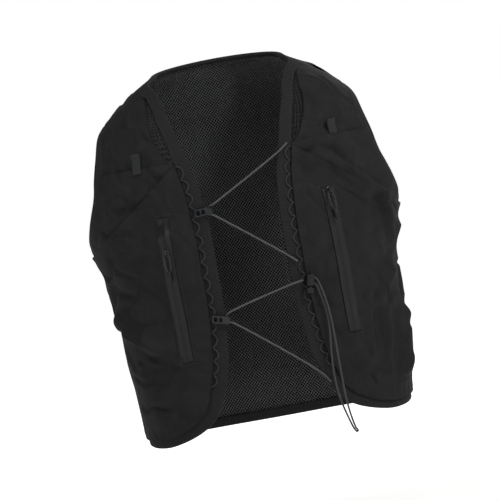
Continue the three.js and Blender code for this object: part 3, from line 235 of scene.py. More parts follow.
# Curves and surfaces of the form. A place is degrees around from the front centre and height.
def smooth_column(x, y):
    """A smooth curve through a column of a table, straight beyond its ends."""
    slopes = np.diff(y) / np.diff(x)
    before, after = np.r_[slopes[0], slopes], np.r_[slopes, slopes[-1]]
    both = before * after
    ends = np.where(both > 0, 2 * both / np.where(before + after == 0, 1, before + after), 0)

    def at(wanted):
        wanted = np.asarray(wanted, float)
        i = np.clip(np.searchsorted(x, wanted, side="right") - 1, 0, len(x) - 2)
        span = x[i + 1] - x[i]
        t = np.clip((wanted - x[i]) / span, 0, 1)
        inside = ((2 * t**3 - 3 * t**2 + 1) * y[i] + (t**3 - 2 * t**2 + t) * span * ends[i]
                  + (3 * t**2 - 2 * t**3) * y[i + 1] + (t**3 - t**2) * span * ends[i + 1])
        below = np.minimum(wanted - x[0], 0) * ends[0]
        above = np.maximum(wanted - x[-1], 0) * ends[-1]
        return inside + below + above
    return at


SPREAD, FRONT_SHARE, BACK_SHARE, ROUND = [
    smooth_column(SECTIONS[:, 0], SECTIONS[:, k]) for k in (1, 2, 3, 4)]


def section(z, towards_front):
    """Half width, half depth and roundness of the form at heights."""
    height = np.asarray(z, float) / VEST_LENGTH
    wide = NECK_WIDTH / 2 + (CHEST_WIDTH - NECK_WIDTH) / 2 * SPREAD(height)
    deep = np.where(towards_front, FRONT_SHARE(height), BACK_SHARE(height)) * CHEST_DEPTH / 2
    return wide, deep, ROUND(height)


def on_form(places):
    """Points on the form at places."""
    places = np.asarray(places, float)
    angle, z = np.radians(places[..., 0]), places[..., 1]
    wide, deep, power = section(z, np.cos(angle) >= 0)
    radius = ((np.abs(np.cos(angle)) / deep) ** power
              + (np.abs(np.sin(angle)) / wide) ** power) ** (-1 / power)
    return np.stack([radius * np.sin(angle), -radius * np.cos(angle), z], -1)


def unit(vectors):
    return vectors / np.maximum(np.linalg.norm(vectors, axis=-1, keepdims=True), 1e-12)


def normal_at(places):
    """The form's outward directions at places."""
    turn, rise = np.array([0.5, 0]), np.array([0, 1])
    along_turn = on_form(places + turn) - on_form(places - turn)
    along_rise = on_form(places + rise) - on_form(places - rise)
    return unit(np.cross(along_turn, along_rise))


def off(places, distance):
    """Points at a distance off the form."""
    return on_form(places) + normal_at(places) * np.asarray(distance, float)[..., None]


def place_of(points):
    """Places of points on the form."""
    around = np.degrees(np.arctan2(points[..., 0], -points[..., 1]))
    return np.stack([np.where(around < -45, around + 360, around), points[..., 2]], -1)


def front_place(x, z):
    """The place on the front at a distance across from the centre, on either side."""
    x, z = np.asarray(x, float), np.asarray(z, float)
    wide, deep, power = section(z, True)
    y = -deep * (1 - np.clip(np.abs(x / wide), 0, 1) ** power) ** (1 / power)
    return np.stack([np.degrees(np.arctan2(x, -y)), z], -1)


def catmull_rom(points, count):
    """A centripetal curve through points, at evenly spaced steps of its parameter."""
    points = np.asarray(points, float)
    last = len(points) - 1
    padded = np.vstack([2 * points[0] - points[1], points, 2 * points[-1] - points[-2]])
    t = np.linspace(0, last, count + 1)
    i = np.minimum(t.astype(int), last - 1)
    w = (t - i)[:, None]
    a, b, c, d = [padded[i + k] for k in range(4)]
    gaps = [np.maximum(np.linalg.norm(q - p, axis=1), 1e-8)[:, None] ** 0.5
            for p, q in ((a, b), (b, c), (c, d))]
    from_b = ((b - a) / gaps[0] - (c - a) / (gaps[0] + gaps[1]) + (c - b) / gaps[1]) * gaps[1]
    from_c = ((c - b) / gaps[1] - (d - b) / (gaps[1] + gaps[2]) + (d - c) / gaps[2]) * gaps[1]
    return (b + from_b * w + (-3 * b + 3 * c - 2 * from_b - from_c) * w**2
            + (2 * b - 2 * c + from_b + from_c) * w**3)


class Curve:
    """A curve on the form through places, run through evenly from 0 to 1."""

    def __init__(self, places):
        self.samples = catmull_rom(places, 240)
        steps = np.linalg.norm(np.diff(on_form(self.samples), axis=0), axis=1)
        self.lengths = np.r_[0, np.cumsum(steps)]
        self.total = self.lengths[-1]

    def __call__(self, share):
        wanted = np.clip(share, 0, 1) * self.total
        return np.stack([np.interp(wanted, self.lengths, self.samples[:, k]) for k in (0, 1)], -1)


END_BLEND = 0.12


def inset(curve, share, width, turn, start=None, end=None):
    """The curve moved across the form by a width, turned to the seams that it meets."""
    share = np.asarray(share, float)
    before, after = np.maximum(0, share - 0.004), np.minimum(1, share + 0.004)
    along = on_form(curve(after)) - on_form(curve(before))
    across = unit(np.cross(normal_at(curve(share)), along)) * turn
    for seam, distance in ((start, share), (end, 1 - share)):
        if seam is not None:
            weight = np.maximum(0, 1 - distance / END_BLEND)[..., None]
            across = unit(across * (1 - weight) + seam * weight)
    moved = on_form(curve(share)) + across * np.broadcast_to(width, share.shape)[..., None]
    return place_of(moved)


def seam_place(z, panel):
    """The place of a side seam at a height, on the front for panel 1, on the back for -1."""
    z = np.asarray(z, float)
    turn = np.degrees(SEAM_GAP / 2 / section(z, True)[0])
    return np.stack([90 - panel * turn, z + 0 * turn], -1)


TIP_Z = -SHOULDER_DROP
UNDERARM_Z = TIP_Z - ARMHOLE_HEIGHT
SIDE_HEM_Z = FRONT_HEM[-1][0] * VEST_LENGTH


def seam_direction(z):
    return unit(on_form([90, z - 1]) - on_form([90, z + 1]))


DOWN_SHOULDER = seam_direction((NECK_RISE + TIP_Z) / 2)
DOWN_SIDE = seam_direction((UNDERARM_Z + SIDE_HEM_Z) / 2)
ACROSS_BODY = np.array([-1, 1, 1])


def armhole_curve(panel):
    """The armhole's edge on the front, 1, or on the back, -1."""
    down, share = np.array(ARMHOLE, float).T
    reach = ARMHOLE_FRONT_REACH if panel > 0 else ARMHOLE_BACK_REACH
    z = TIP_Z + (UNDERARM_Z - TIP_Z) * down
    wide, deep, power = section(z, panel > 0)
    y = reach * share + SEAM_GAP / 2
    x = wide * (1 - (y / deep) ** power) ** (1 / power)
    return Curve(np.stack([np.degrees(np.arctan2(x, panel * y)), z], -1))


FRONT_ARMHOLE, BACK_ARMHOLE = armhole_curve(1), armhole_curve(-1)
FRONT_EDGE_CURVE = Curve([
    seam_place(NECK_RISE, 1), *[(around, height * VEST_LENGTH) for height, around in FRONT_EDGE],
    (FRONT_HEM[0][1], FRONT_HEM[0][0] * VEST_LENGTH)])
FRONT_HEM_CURVE = Curve([
    (min(around, seam_place(SIDE_HEM_Z, 1)[0]), height * VEST_LENGTH)
    for height, around in FRONT_HEM])
EIGHTHS = np.linspace(0, 1, 9)


def back_curve(z, rise, power):
    """A curve around the back from seam to seam that rises or sags in its middle."""
    start = seam_place(z, -1)[0]
    turn = start + (360 - 2 * start) * EIGHTHS
    return Curve(np.stack([turn, z + rise * np.sin(np.pi * EIGHTHS).clip(0) ** power], -1))


BACK_HEM_CURVE = back_curve(SIDE_HEM_Z, -BACK_HEM_SAG * VEST_LENGTH, 0.7)
BACK_NECK_CURVE = back_curve(NECK_RISE, BACK_NECK_RISE, 1)


def tape_width(along):
    return TAPE_WIDTH * np.interp(along, EDGE_WIDTHS[:, 0], EDGE_WIDTHS[:, 1])


def crescent_width(along):
    return CRESCENT_WIDTH * np.interp(along, EDGE_WIDTHS[:, 0], EDGE_WIDTHS[:, 2])


def smooth_step(value, low, high):
    t = np.clip((value - low) / (high - low), 0, 1)
    return t * t * (3 - 2 * t)


def hem_width(along):
    start = TAPE_WIDTH * HEM_START_SHARE
    return start + (HEM_WIDTH - start) * smooth_step(along, 0, HEM_BLEND)


ARM_SHARE_OF_FRONT = 0.5
BACK_STEPS = (2, 8, 4)


def arm_share(t):
    """Shares along an armhole, closer together at its ends."""
    return 0.4 * t + 0.6 * (1 - np.cos(np.pi * t)) / 2


def patch(left, right, top, bottom, columns, rows):
    """Places between four boundary curves: left and right run down, top and bottom across."""
    s, t = np.linspace(0, 1, columns + 1)[None, :, None], np.linspace(0, 1, rows + 1)[:, None, None]
    down, over = t[:, 0, 0], s[0, :, 0]
    a, b, c, d = left(down), right(down), top(over), bottom(over)
    sides = a[:, None] * (1 - s) + b[:, None] * s
    ends = c[None] * (1 - t) + d[None] * t
    corners = (a[0] * (1 - s) + b[0] * s) * (1 - t) + (a[-1] * (1 - s) + b[-1] * s) * t
    return sides + ends - corners


AT_CORNER = unit(
    unit(np.cross(normal_at(FRONT_EDGE_CURVE(1.0)),
                  on_form(FRONT_EDGE_CURVE(1.0)) - on_form(FRONT_EDGE_CURVE(0.996))))
    + unit(np.cross(normal_at(FRONT_HEM_CURVE(0.0)),
                    on_form(FRONT_HEM_CURVE(0.004)) - on_form(FRONT_HEM_CURVE(0.0)))))


def front_bounds(edge, hem, arm):
    """Boundary curves of a front, set in from its bound edges by the given widths."""
    def left(t):
        return inset(FRONT_EDGE_CURVE, t, edge(t), 1, DOWN_SHOULDER, AT_CORNER)

    def bottom(s):
        return inset(FRONT_HEM_CURVE, s, hem(s), 1, AT_CORNER, -DOWN_SIDE)

    def arc(share):
        return inset(FRONT_ARMHOLE, share, arm, -1, -DOWN_SHOULDER, DOWN_SIDE)

    def right(t):
        half = ARM_SHARE_OF_FRONT
        low, foot = arc(np.array(1.0))[1], bottom(np.array(1.0))[1]
        side = seam_place(low + (foot - low) * np.clip((t - half) / (1 - half), 0, 1), 1)
        return np.where((t <= half)[:, None], arc(arm_share(np.clip(t / half, 0, 1))), side)

    def top(s):
        near, far = left(np.array([0.0]))[0, 1], arc(np.array(0.0))[1]
        return seam_place(near + (far - near) * s, 1)
    return left, right, top, bottom


def back_bounds(neck, arm, hem):
    """Boundary curves of the back, set in from its bound edges by the given widths."""
    def collar(s):
        return inset(BACK_NECK_CURVE, s, neck, -1, DOWN_SHOULDER, DOWN_SHOULDER * ACROSS_BODY)

    def foot(s):
        return inset(BACK_HEM_CURVE, s, hem, 1, -DOWN_SIDE, -DOWN_SIDE * ACROSS_BODY)

    def arc(share):
        return inset(BACK_ARMHOLE, share, arm, 1, -DOWN_SHOULDER, DOWN_SIDE)

    def left(t):
        total = sum(BACK_STEPS)
        tip, under = BACK_STEPS[0] / total, (BACK_STEPS[0] + BACK_STEPS[1]) / total
        high, low = collar(np.array(0.0))[1], arc(np.array(0.0))[1]
        shoulder = seam_place(high + (low - high) * np.clip(t / tip, 0, 1), -1)
        arm_low, end = arc(np.array(1.0))[1], foot(np.array(0.0))[1]
        side = seam_place(arm_low + (end - arm_low) * np.clip((t - under) / (1 - under), 0, 1), -1)
        around = arc(arm_share(np.clip((t - tip) / (under - tip), 0, 1)))
        return np.where((t < tip)[:, None], shoulder, np.where((t <= under)[:, None], around, side))

    def right(t):
        return left(t) * (-1, 1) + (360, 0)
    return left, right, collar, foot


# Puff, folds, puckers and wrinkles of the outer layers
EDGE_SHARES = np.linspace(0, 1, 241)
EDGE_CURVES = [FRONT_EDGE_CURVE, FRONT_HEM_CURVE, FRONT_ARMHOLE]
FRONT_EDGE_POINTS = np.vstack([on_form(curve(EDGE_SHARES)) for curve in EDGE_CURVES])
FRONT_EDGE_RUNS = np.concatenate([curve.total * EDGE_SHARES for curve in EDGE_CURVES])
BACK_CURVES = [BACK_NECK_CURVE, BACK_HEM_CURVE, BACK_ARMHOLE]
BACK_TOTALS = [curve.total for curve in BACK_CURVES + [BACK_ARMHOLE]]
BACK_EDGE_POINTS = np.vstack([on_form(curve(EDGE_SHARES)) for curve in BACK_CURVES]
                             + [on_form(BACK_ARMHOLE(EDGE_SHARES)) * ACROSS_BODY])
BACK_EDGE_RUNS = np.concatenate([total * EDGE_SHARES for total in BACK_TOTALS])
# Slack of the cloth: heights, and the sizes of the noise across and down, in millimetres
SWELL, SWELL_ACROSS, SWELL_DOWN = 4.2, 52, 70
RIPPLE, RIPPLE_ACROSS, RIPPLE_DOWN = 1.6, 17, 30
CREASE, CREASE_ACROSS, CREASE_DOWN, CREASE_LEAN, CREASE_SHARPNESS = 3.4, 34, 40, 60, 5
SLACK_START = 14
FRONT_SLACK_FADE = 22
BACK_SLACK_FADE = 30
BACK_EASE = 1.5
FRONT_EASE = 0.4
# Puckers beside a seam: where they start, their height, pitch, its drift and their fade
PUCKER_START = 11
PUCKER_HEIGHT = 0.5
PUCKER_PITCH = 2.1
PUCKER_DRIFT = 19
PUCKER_FADE = 12
ZIP_CALM = 26
ZIP_CALM_SHARE = 0.85
FRONT_SEED = 3.7
BACK_SEED = 9.1


def nearest(points, targets):
    """Distance to the nearest target and its index, for each point."""
    flat = points.reshape(-1, 3)
    squares = (flat**2).sum(1)[:, None] + (targets**2).sum(1)[None] - 2 * flat @ targets.T
    found = squares.argmin(1)
    least = np.sqrt(np.maximum(squares[np.arange(len(flat)), found], 0))
    return least.reshape(points.shape[:-1]), found.reshape(points.shape[:-1])


def folds_at(points, side):
    """The height of a side's folds at points of the form."""
    total = np.zeros(points.shape[:-1])
    for which, x, z, to_x, to_z, deep, wide in FOLDS:
        if which != side:
            continue
        start, end = on_form(front_place(x, z)), on_form(front_place(to_x, to_z))
        along = end - start
        share = np.clip(((points - start) @ along) / (along @ along), 0, 1)
        away = np.linalg.norm(points - start - share[..., None] * along, axis=-1) / wide
        total += FOLD_GAIN * deep * np.exp(-away**2)
    return total


def wrinkles_at(points, seed):
    """Slack in the cloth: broad soft swells with a few sharper creases across them."""
    flat = points.reshape(-1, 3)
    made = np.empty(len(flat))
    for i, (x, y, z) in enumerate(flat):
        broad = noise.noise(Vector((x / SWELL_ACROSS + seed, y / SWELL_ACROSS, z / SWELL_DOWN)))
        ripple = noise.noise(Vector((x / RIPPLE_ACROSS, y / RIPPLE_ACROSS + seed,
                                     z / RIPPLE_DOWN)))
        valley = noise.noise(Vector((x / CREASE_ACROSS + z / CREASE_LEAN, y / CREASE_ACROSS,
                                     z / CREASE_DOWN - seed)))
        crease = 1 - abs(valley) * CREASE_SHARPNESS
        made[i] = SWELL * broad + RIPPLE * ripple - CREASE * max(0.0, crease)
    return made.reshape(points.shape[:-1])


def puckers(least, run, shift=0):
    """Small puckers beside a seam, from the distance to it and the length run along it."""
    seam = (smooth_step(least - PUCKER_START, 0, 3)
            * np.exp(-np.maximum(0, least - PUCKER_START - 2) / PUCKER_FADE))
    wave = np.sin(run / PUCKER_PITCH + 1.3 * np.sin(run / PUCKER_DRIFT + shift))
    return PUCKER_HEIGHT * seam * wave


def raised_on(side):
    """The point over a front at a distance off the form, with its puff, folds and wrinkles."""
    front = next(row for row in FRONTS if row["side"] == side)
    zip_line = on_form(zip_places(front, np.zeros(60), np.linspace(-0.05, 1.05, 60)))

    def at(places, distance):
        points = on_form(places)
        least, found = nearest(points, FRONT_EDGE_POINTS)
        from_side = np.linalg.norm(points - on_form(np.stack(
            [np.full(places.shape[:-1], 90.0), places[..., 1]], -1)), axis=-1)
        fade = smooth_step(np.minimum(least - TAPE_WIDTH, from_side), 0, PUFF_FADE)
        lift = fade * (PUFF + folds_at(points, side))
        to_zip, _ = nearest(points, zip_line)
        calm = 1 - ZIP_CALM_SHARE * np.exp(-(to_zip / ZIP_CALM) ** 2)
        slack = (smooth_step(least - SLACK_START, 0, FRONT_SLACK_FADE) * calm
                 * wrinkles_at(points * (side, 1, 1), FRONT_SEED * side))
        ease = FRONT_EASE * smooth_step(least, SLACK_START, 30)
        raised = np.maximum(LEAST_LIFT, lift + slack + ease)
        return off(places, distance + raised + puckers(least, FRONT_EDGE_RUNS[found], side))
    return at


def over_back(places, distance):
    """The point over the back at a distance off the form, with its puckers and slack."""
    points = on_form(places)
    least, found = nearest(points, BACK_EDGE_POINTS)
    slack = (smooth_step(least - SLACK_START, 0, BACK_SLACK_FADE)
             * (BACK_EASE + wrinkles_at(points, BACK_SEED)))
    raised = np.maximum(LEAST_LIFT, puckers(least, BACK_EDGE_RUNS[found]) + slack)
    return off(places, distance + raised)


# Meshes
def new_piece(name, vertices, faces, uv=None, crease=50.0):
    """A mesh object at the origin. Vertices and UVs are in millimetres."""
    mesh = bpy.data.meshes.new(name)
    vertices = np.asarray(vertices, float).reshape(-1, 3)
    mesh.from_pydata((vertices * MM).tolist(), [], faces)
    if uv is not None:
        layer = mesh.uv_layers.new(name="cloth")
        corner = np.empty(len(mesh.loops), np.int32)
        mesh.loops.foreach_get("vertex_index", corner)
        layer.data.foreach_set("uv", (np.asarray(uv, float).reshape(-1, 2) * MM)[corner].ravel())
    turn_outwards(mesh)
    mesh.shade_smooth()
    mesh.set_sharp_from_angle(angle=math.radians(crease))
    made = bpy.data.objects.new(name, mesh)
    bpy.context.scene.collection.objects.link(made)
    return made


def turn_outwards(mesh):
    """Turns the faces of a closed mesh outwards."""
    work = bmesh.new()
    work.from_mesh(mesh)
    if work.calc_volume(signed=True) < 0:
        bmesh.ops.reverse_faces(work, faces=work.faces)
        work.to_mesh(mesh)
    work.free()


def on_side(points, side):
    return points * (side, 1, 1)


def grid_faces(rows, columns, start=0, closed=False):
    """Quads of a grid of rows + 1 by columns + 1 points, or of a tube closed across."""
    width = columns if closed else columns + 1
    j, i = np.meshgrid(np.arange(rows), np.arange(columns), indexing="ij")
    after = (i + 1) % width
    quads = np.stack([j * width + i, j * width + after, (j + 1) * width + after,
                      (j + 1) * width + i], -1)
    return (quads.reshape(-1, 4) + start).tolist()


def solid_sheet(name, lower, upper, uv):
    """A closed sheet of cloth between two grids of points."""
    rows, columns = upper.shape[0] - 1, upper.shape[1] - 1
    count = (rows + 1) * (columns + 1)
    index = np.arange(count).reshape(rows + 1, columns + 1)
    faces = grid_faces(rows, columns) + [q[::-1] for q in grid_faces(rows, columns, count)]
    rim = np.r_[index[0, :-1], index[:-1, -1], index[-1, :0:-1], index[:0:-1, 0]]
    after = np.roll(rim, -1)
    faces += [[b, a, a + count, b + count] for a, b in zip(rim.tolist(), after.tolist())]
    return new_piece(name, np.concatenate([upper.reshape(-1, 3), lower.reshape(-1, 3)]), faces,
                     np.concatenate([uv.reshape(-1, 2)] * 2))


def unrolled(points):
    """Distances across and down a grid of points, as its flat pattern has them."""
    across = np.linalg.norm(np.diff(points, axis=1), axis=-1)
    u = np.concatenate([np.zeros((len(points), 1)), np.cumsum(across, 1)], 1)
    return np.stack([u - u[:, -1:], points[..., 2]], -1)


def mouth(points, grid, reach, rise):
    """How far a pocket's cloth stands off below its open edge, which is stitched at its ends."""
    down = np.linalg.norm(points - points[:1], axis=-1)
    across = np.linspace(0, 1, grid.shape[1])[None]
    near, far = MOUTH_STITCHED
    slack = smooth_step(across, 0, near) * smooth_step(1 - across, 0, far)
    return rise * slack * np.exp(-(down / reach) ** 2)


def cloth(name, grid, inner, point_at, thickness, side=1, profile=0.0):
    """A sheet of cloth over a grid of places, its inner face at a height off the form."""
    lower = point_at(grid, inner + profile)
    upper = point_at(grid, inner + thickness / MM + profile)
    return solid_sheet(name, on_side(lower, side), on_side(upper, side), unrolled(upper))


def shade_inner_face(piece, finish_name):
    """Gives the inner face of a sheet a second, darker material: painted shade."""
    piece.data.materials.append(finish(finish_name))
    half = (len(piece.data.vertices)) // 2
    first = np.empty(len(piece.data.loops), np.int32)
    piece.data.loops.foreach_get("vertex_index", first)
    starts = np.empty(len(piece.data.polygons), np.int32)
    piece.data.polygons.foreach_get("loop_start", starts)
    inner = np.minimum.reduceat(first, starts) >= half
    piece.data.polygons.foreach_set("material_index", inner.astype(np.int32))


def cut_flat(piece, points, held, *rests_on):
    """Works out the area of the cloth over a grid of points, and keeps nothing of it; the piece,
    held and rests_on are not used.
    """
    one, other = points[1:, 1:] - points[:-1, :-1], points[1:, :-1] - points[:-1, 1:]
    area = np.linalg.norm(np.cross(one, other), axis=-1).sum() / 2 * MM**2


def tube(name, path, diameter, sides=12):
    """A cord along a path of points, with its braid's UVs around and along it."""
    path = np.asarray(path, float)
    tangents = unit(np.gradient(path, axis=0))
    side = unit(np.cross(tangents[0], (0.3, -1, 0.2)))
    sides_at = []
    for tangent in tangents:
        side = unit(side - tangent * (side @ tangent))
        sides_at.append(side)
    sides_at = np.array(sides_at)
    ups = np.cross(tangents, sides_at)
    angle = 2 * np.pi * np.arange(sides) / sides
    ring = (np.cos(angle)[None, :, None] * sides_at[:, None]
            + np.sin(angle)[None, :, None] * ups[:, None])
    points = path[:, None] + ring * diameter / 2
    faces = grid_faces(len(path) - 1, sides, closed=True)
    faces += [list(range(sides))[::-1], [(len(path) - 1) * sides + k for k in range(sides)]]
    length = np.r_[0, np.cumsum(np.linalg.norm(np.diff(path, axis=0), axis=1))]
    uv = np.stack(np.broadcast_arrays(
        np.abs(angle - np.pi)[None] * diameter / 2, length[:, None]), -1)
    return new_piece(name, points, faces, uv, 80.0)


# Outline of a folded binding: which leg, width from it and height off the form
BINDING_SECTION = [
    (1, 0, 2.9), (1, -0.5, 3.4), (1, -1.6, 3.5), (0.5, 0, 3.6), (0, 1.2, 3.55), (0, 0, 3.5),
    (0, -0.8, 3.3), (0, -1.35, 2.7), (0, -1.5, 1.8), (0, -1.5, 0.6), (0, -1.5, -0.8),
    (0, -1.3, -1.6), (0, -0.7, -2.05), (0, 0.2, -2.2), (-1, -0.6, -2.15), (-1, 0, -1.8),
    (-1, 0, -1.05), (0, -0.3, -1.0), (0, -0.3, 2.3), (1, 0, 2.3),
]


def binding_rings(curve, shares, turn, outer, inner, start=None, end=None):
    """Rings of a folded binding along a curve, with its outer and inner widths."""
    rows = []
    for leg, width, height in BINDING_SECTION:
        wide = width + (leg * outer if leg >= 0 else inner)
        rows.append(off(inset(curve, shares, wide, turn, start, end), height))
    return np.stack(rows, 1)


def ring_piece(name, rings, side=1, closed=False):
    """A body swept through rings of points, with caps unless it is a loop."""
    count, size = rings.shape[:2]
    if closed:
        rings = np.concatenate([rings, rings[:1]])
    faces = grid_faces(len(rings) - 1, size, closed=True)
    if closed:
        faces = [[v % (count * size) for v in face] for face in faces]
    else:
        faces += [list(range(size))[::-1], [(count - 1) * size + k for k in range(size)]]
    run = np.r_[0, np.cumsum(np.linalg.norm(np.diff(rings[:, 5], axis=0), axis=1))][:count]
    girth = np.r_[0, np.cumsum(np.linalg.norm(np.diff(rings[0], axis=0), axis=1))]
    uv = np.stack(np.broadcast_arrays(girth[None], run[:, None]), -1)
    return new_piece(name, on_side(rings[:count], side), faces, uv, 60.0)


# Nodes
def node(tree, kind, inputs=(), **settings):
    """Adds a node with its settings, and its inputs as values or links."""
    made = tree.nodes.new(kind)
    for key, value in settings.items():
        setattr(made, key, value)
    for key, value in dict(inputs).items():
        if isinstance(value, bpy.types.NodeSocket):
            tree.links.new(value, made.inputs[key])
        else:
            made.inputs[key].default_value = value
    return made


def material_tree(name, colour, roughness, **sockets):
    """A material with its shader's plain values set, its tree and its shader."""
    made = bpy.data.materials.new(name)
    made.use_nodes = True
    tree = made.node_tree
    tree.nodes.clear()
    shader = node(tree, "ShaderNodeBsdfPrincipled", {
        "Base Color": (*colour, 1), "Roughness": roughness, **sockets})
    node(tree, "ShaderNodeOutputMaterial", {"Surface": shader.outputs[0]})
    made.diffuse_color = (*colour, 1)
    return made, tree, shader


def mottled(tree, shader, colour, coordinates, scale, low, high, over=None):
    """Base colour that varies from low to high times the colour, with over averaged in."""
    patches = node(tree, "ShaderNodeTexNoise", {
        "Vector": coordinates, "Scale": scale, "Detail": 6.0, "Roughness": 0.6})
    if over:
        patches = node(tree, "ShaderNodeMath", {0: patches.outputs[0], 1: over, 2: 0.0},
                       operation="ADD")
        patches = node(tree, "ShaderNodeMath", {0: patches.outputs[0], 1: 0.5},
                       operation="MULTIPLY")
    ramp = node(tree, "ShaderNodeValToRGB", {"Fac": patches.outputs[0]})
    ramp.color_ramp.elements[0].position = 0.3
    ramp.color_ramp.elements[0].color = (*(c * low for c in colour), 1)
    ramp.color_ramp.elements[1].position = 0.7
    ramp.color_ramp.elements[1].color = (*(c * high for c in colour), 1)
    tree.links.new(ramp.outputs[0], shader.inputs["Base Color"])


def bumped(tree, shader, height, strength, distance_mm):
    """Relief of a shader's surface from a height."""
    bump = node(tree, "ShaderNodeBump", {
        "Height": height, "Strength": strength, "Distance": distance_mm * MM})
    tree.links.new(bump.outputs[0], shader.inputs["Normal"])


def wave_scale(pitch_mm):
    """The Wave Texture's scale that gives bands at a pitch."""
    return math.pi / (10 * pitch_mm * MM)


def woven_cloth(name, colour, thread_mm=1.8):
    """Plain woven nylon, dyed: matt, with a fine crossing of threads and painted shade in soft
    patches.
    """
    made, tree, shader = material_tree(name, colour, 0.82, **{
        "Specular IOR Level": 0.12})
    uv = node(tree, "ShaderNodeUVMap", uv_map="cloth").outputs[0]
    own = node(tree, "ShaderNodeTexCoord").outputs["Object"]
    # Noise at about 20 mm averaged into the colour's fine grain: painted shade in soft patches,
    # standing in for the shading of the cloth's folds
    shade_patches = node(tree, "ShaderNodeTexNoise", {
        "Vector": own, "Scale": 55.0, "Detail": 3.0, "Distortion": 0.6})
    mottled(tree, shader, colour, own, 420.0, 0.62, 1.38, shade_patches.outputs[0])
    bands = wave_scale(thread_mm)
    warp = node(tree, "ShaderNodeTexWave", {"Vector": uv, "Scale": bands, "Distortion": 0.6},
                bands_direction="X")
    weft = node(tree, "ShaderNodeTexWave", {"Vector": uv, "Scale": bands, "Distortion": 0.6},
                bands_direction="Y")
    both = node(tree, "ShaderNodeMath", {0: warp.outputs["Fac"], 1: weft.outputs["Fac"]},
                operation="MULTIPLY")
    crumple = node(tree, "ShaderNodeTexNoise", {"Vector": own, "Scale": 90.0, "Detail": 4.0})
    height = node(tree, "ShaderNodeMath", {0: crumple.outputs[0], 1: 3.0, 2: both.outputs[0]},
                  operation="MULTIPLY_ADD")
    bumped(tree, shader, height.outputs[0], 0.35, 0.25)
    return made


def knitted(name, colour, rib_mm, ribbed=True):
    """Knitted polyester: matt, with ribs across the run of a tape or strand."""
    made, tree, shader = material_tree(name, colour, 0.9, **{
        "Specular IOR Level": 0.12})
    uv = node(tree, "ShaderNodeUVMap", uv_map="cloth").outputs[0]
    own = node(tree, "ShaderNodeTexCoord").outputs["Object"]
    ribs = node(tree, "ShaderNodeTexWave", {
        "Vector": uv, "Scale": wave_scale(rib_mm), "Distortion": 0.8, "Detail": 1.0,
        "Detail Scale": 2.0}, bands_direction="Y")
    mottled(tree, shader, colour, own, 400.0, 0.65, 1.4, ribs.outputs["Fac"] if ribbed else None)
    bumped(tree, shader, ribs.outputs["Fac"], 0.6, 0.35)
    return made


def braided(name, colour):
    """Braided polyester cord: fine crossing strands, light and dark."""
    made, tree, shader = material_tree(name, colour, 0.7, **{
        "Specular IOR Level": 0.35, "Sheen Weight": 0.1})
    uv = node(tree, "ShaderNodeUVMap", uv_map="cloth").outputs[0]
    strands = node(tree, "ShaderNodeTexChecker", {
        "Vector": node(tree, "ShaderNodeMapping", {
            "Vector": uv, "Rotation": (0, 0, math.radians(40))}).outputs[0],
        "Scale": 1 / (0.7 * MM), "Color1": (*(c * 1.25 for c in colour), 1),
        "Color2": (*(c * 0.6 for c in colour), 1)})
    tree.links.new(strands.outputs["Color"], shader.inputs["Base Color"])
    bumped(tree, shader, strands.outputs["Fac"], 0.4, 0.15)
    return made


def hard(name, colour, roughness, metallic, grain_mm, specular=0.5):
    """A hard finish whose gloss varies with its grain."""
    made, tree, shader = material_tree(name, colour, roughness, **{
        "Metallic": metallic, "Specular IOR Level": specular})
    own = node(tree, "ShaderNodeTexCoord").outputs["Object"]
    grain = node(tree, "ShaderNodeTexNoise", {
        "Vector": own, "Scale": 1 / (grain_mm * MM), "Detail": 3.0})
    gloss = node(tree, "ShaderNodeMapRange", {
        "Value": grain.outputs[0], "To Min": roughness * 0.75, "To Max": roughness * 1.3})
    tree.links.new(gloss.outputs[0], shader.inputs["Roughness"])
    bumped(tree, shader, grain.outputs[0], 0.15, 0.1)
    return made


# Finishes: what makes it, which colour it takes and what else it is given
FINISH_KINDS = {
    "woven nylon": (woven_cloth, "shell"),
    # The shell cloth in a darker colour: painted shade on the back shell's inner face
    "shell underside": (woven_cloth, "underside"),
    "knitted mesh": (knitted, "lining", 0.9, False),
    # The fronts' mesh: the back's knit in a darker colour, as painted shade
    "front mesh": (knitted, "front_lining", 0.9, False),
    "knitted tape": (knitted, "tape", 2.0),
    "webbing": (hard, "webbing", 0.85, 0.0, 0.8, 0.25),
    "coated zip film": (hard, "film", 0.5, 0.0, 2.0, 0.25),
    "braided cord": (braided, "cord"),
    "braided tail": (braided, "tail"),
    "braided trim": (braided, "daisy"),
    "anodised metal": (hard, "metal", 0.24, 0.9, 1.0),
    "moulded acetal": (hard, "plastic", 0.45, 0.0, 0.6, 0.25),
    "sewing thread": (hard, "thread", 0.7, 0.0, 0.5),
}
FINISHES = {}


def finish(name):
    """The material of a finish, made once."""
    if name not in FINISHES:
        make, colour, *rest = FINISH_KINDS[name]
        FINISHES[name] = make(name, getattr(bpy.context.scene.vest_colours, colour), *rest)
    return FINISHES[name]


def seat(piece, finish_name, slot, *nodes):
    """Gives a finished piece its material and its body, and hides the nodes that it stands for; its
    slot is not used.
    """
    if finish_name and not piece.data.materials:
        piece.data.materials.append(finish(finish_name))
    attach(piece, "root")
    if nodes:
        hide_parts(*nodes)
    return piece


# Geometry Nodes
def set_inputs(modifier, tree, values):
    """Sets a modifier's inputs by their sockets' identifiers."""
    for item in tree.interface.items_tree:
        if item.item_type == "SOCKET" and item.in_out == "INPUT" and item.name in values:
            modifier[item.identifier] = values[item.name]


def new_tree(name, sockets):
    """A Geometry Nodes tree with its sockets and its input node."""
    tree = bpy.data.node_groups.new(name, "GeometryNodeTree")
    tree.interface.new_socket("Geometry", in_out="INPUT", socket_type="NodeSocketGeometry")
    for label, kind in sockets:
        tree.interface.new_socket(label, in_out="INPUT", socket_type=kind)
    tree.interface.new_socket("Geometry", in_out="OUTPUT", socket_type="NodeSocketGeometry")
    return tree, node(tree, "NodeGroupInput")


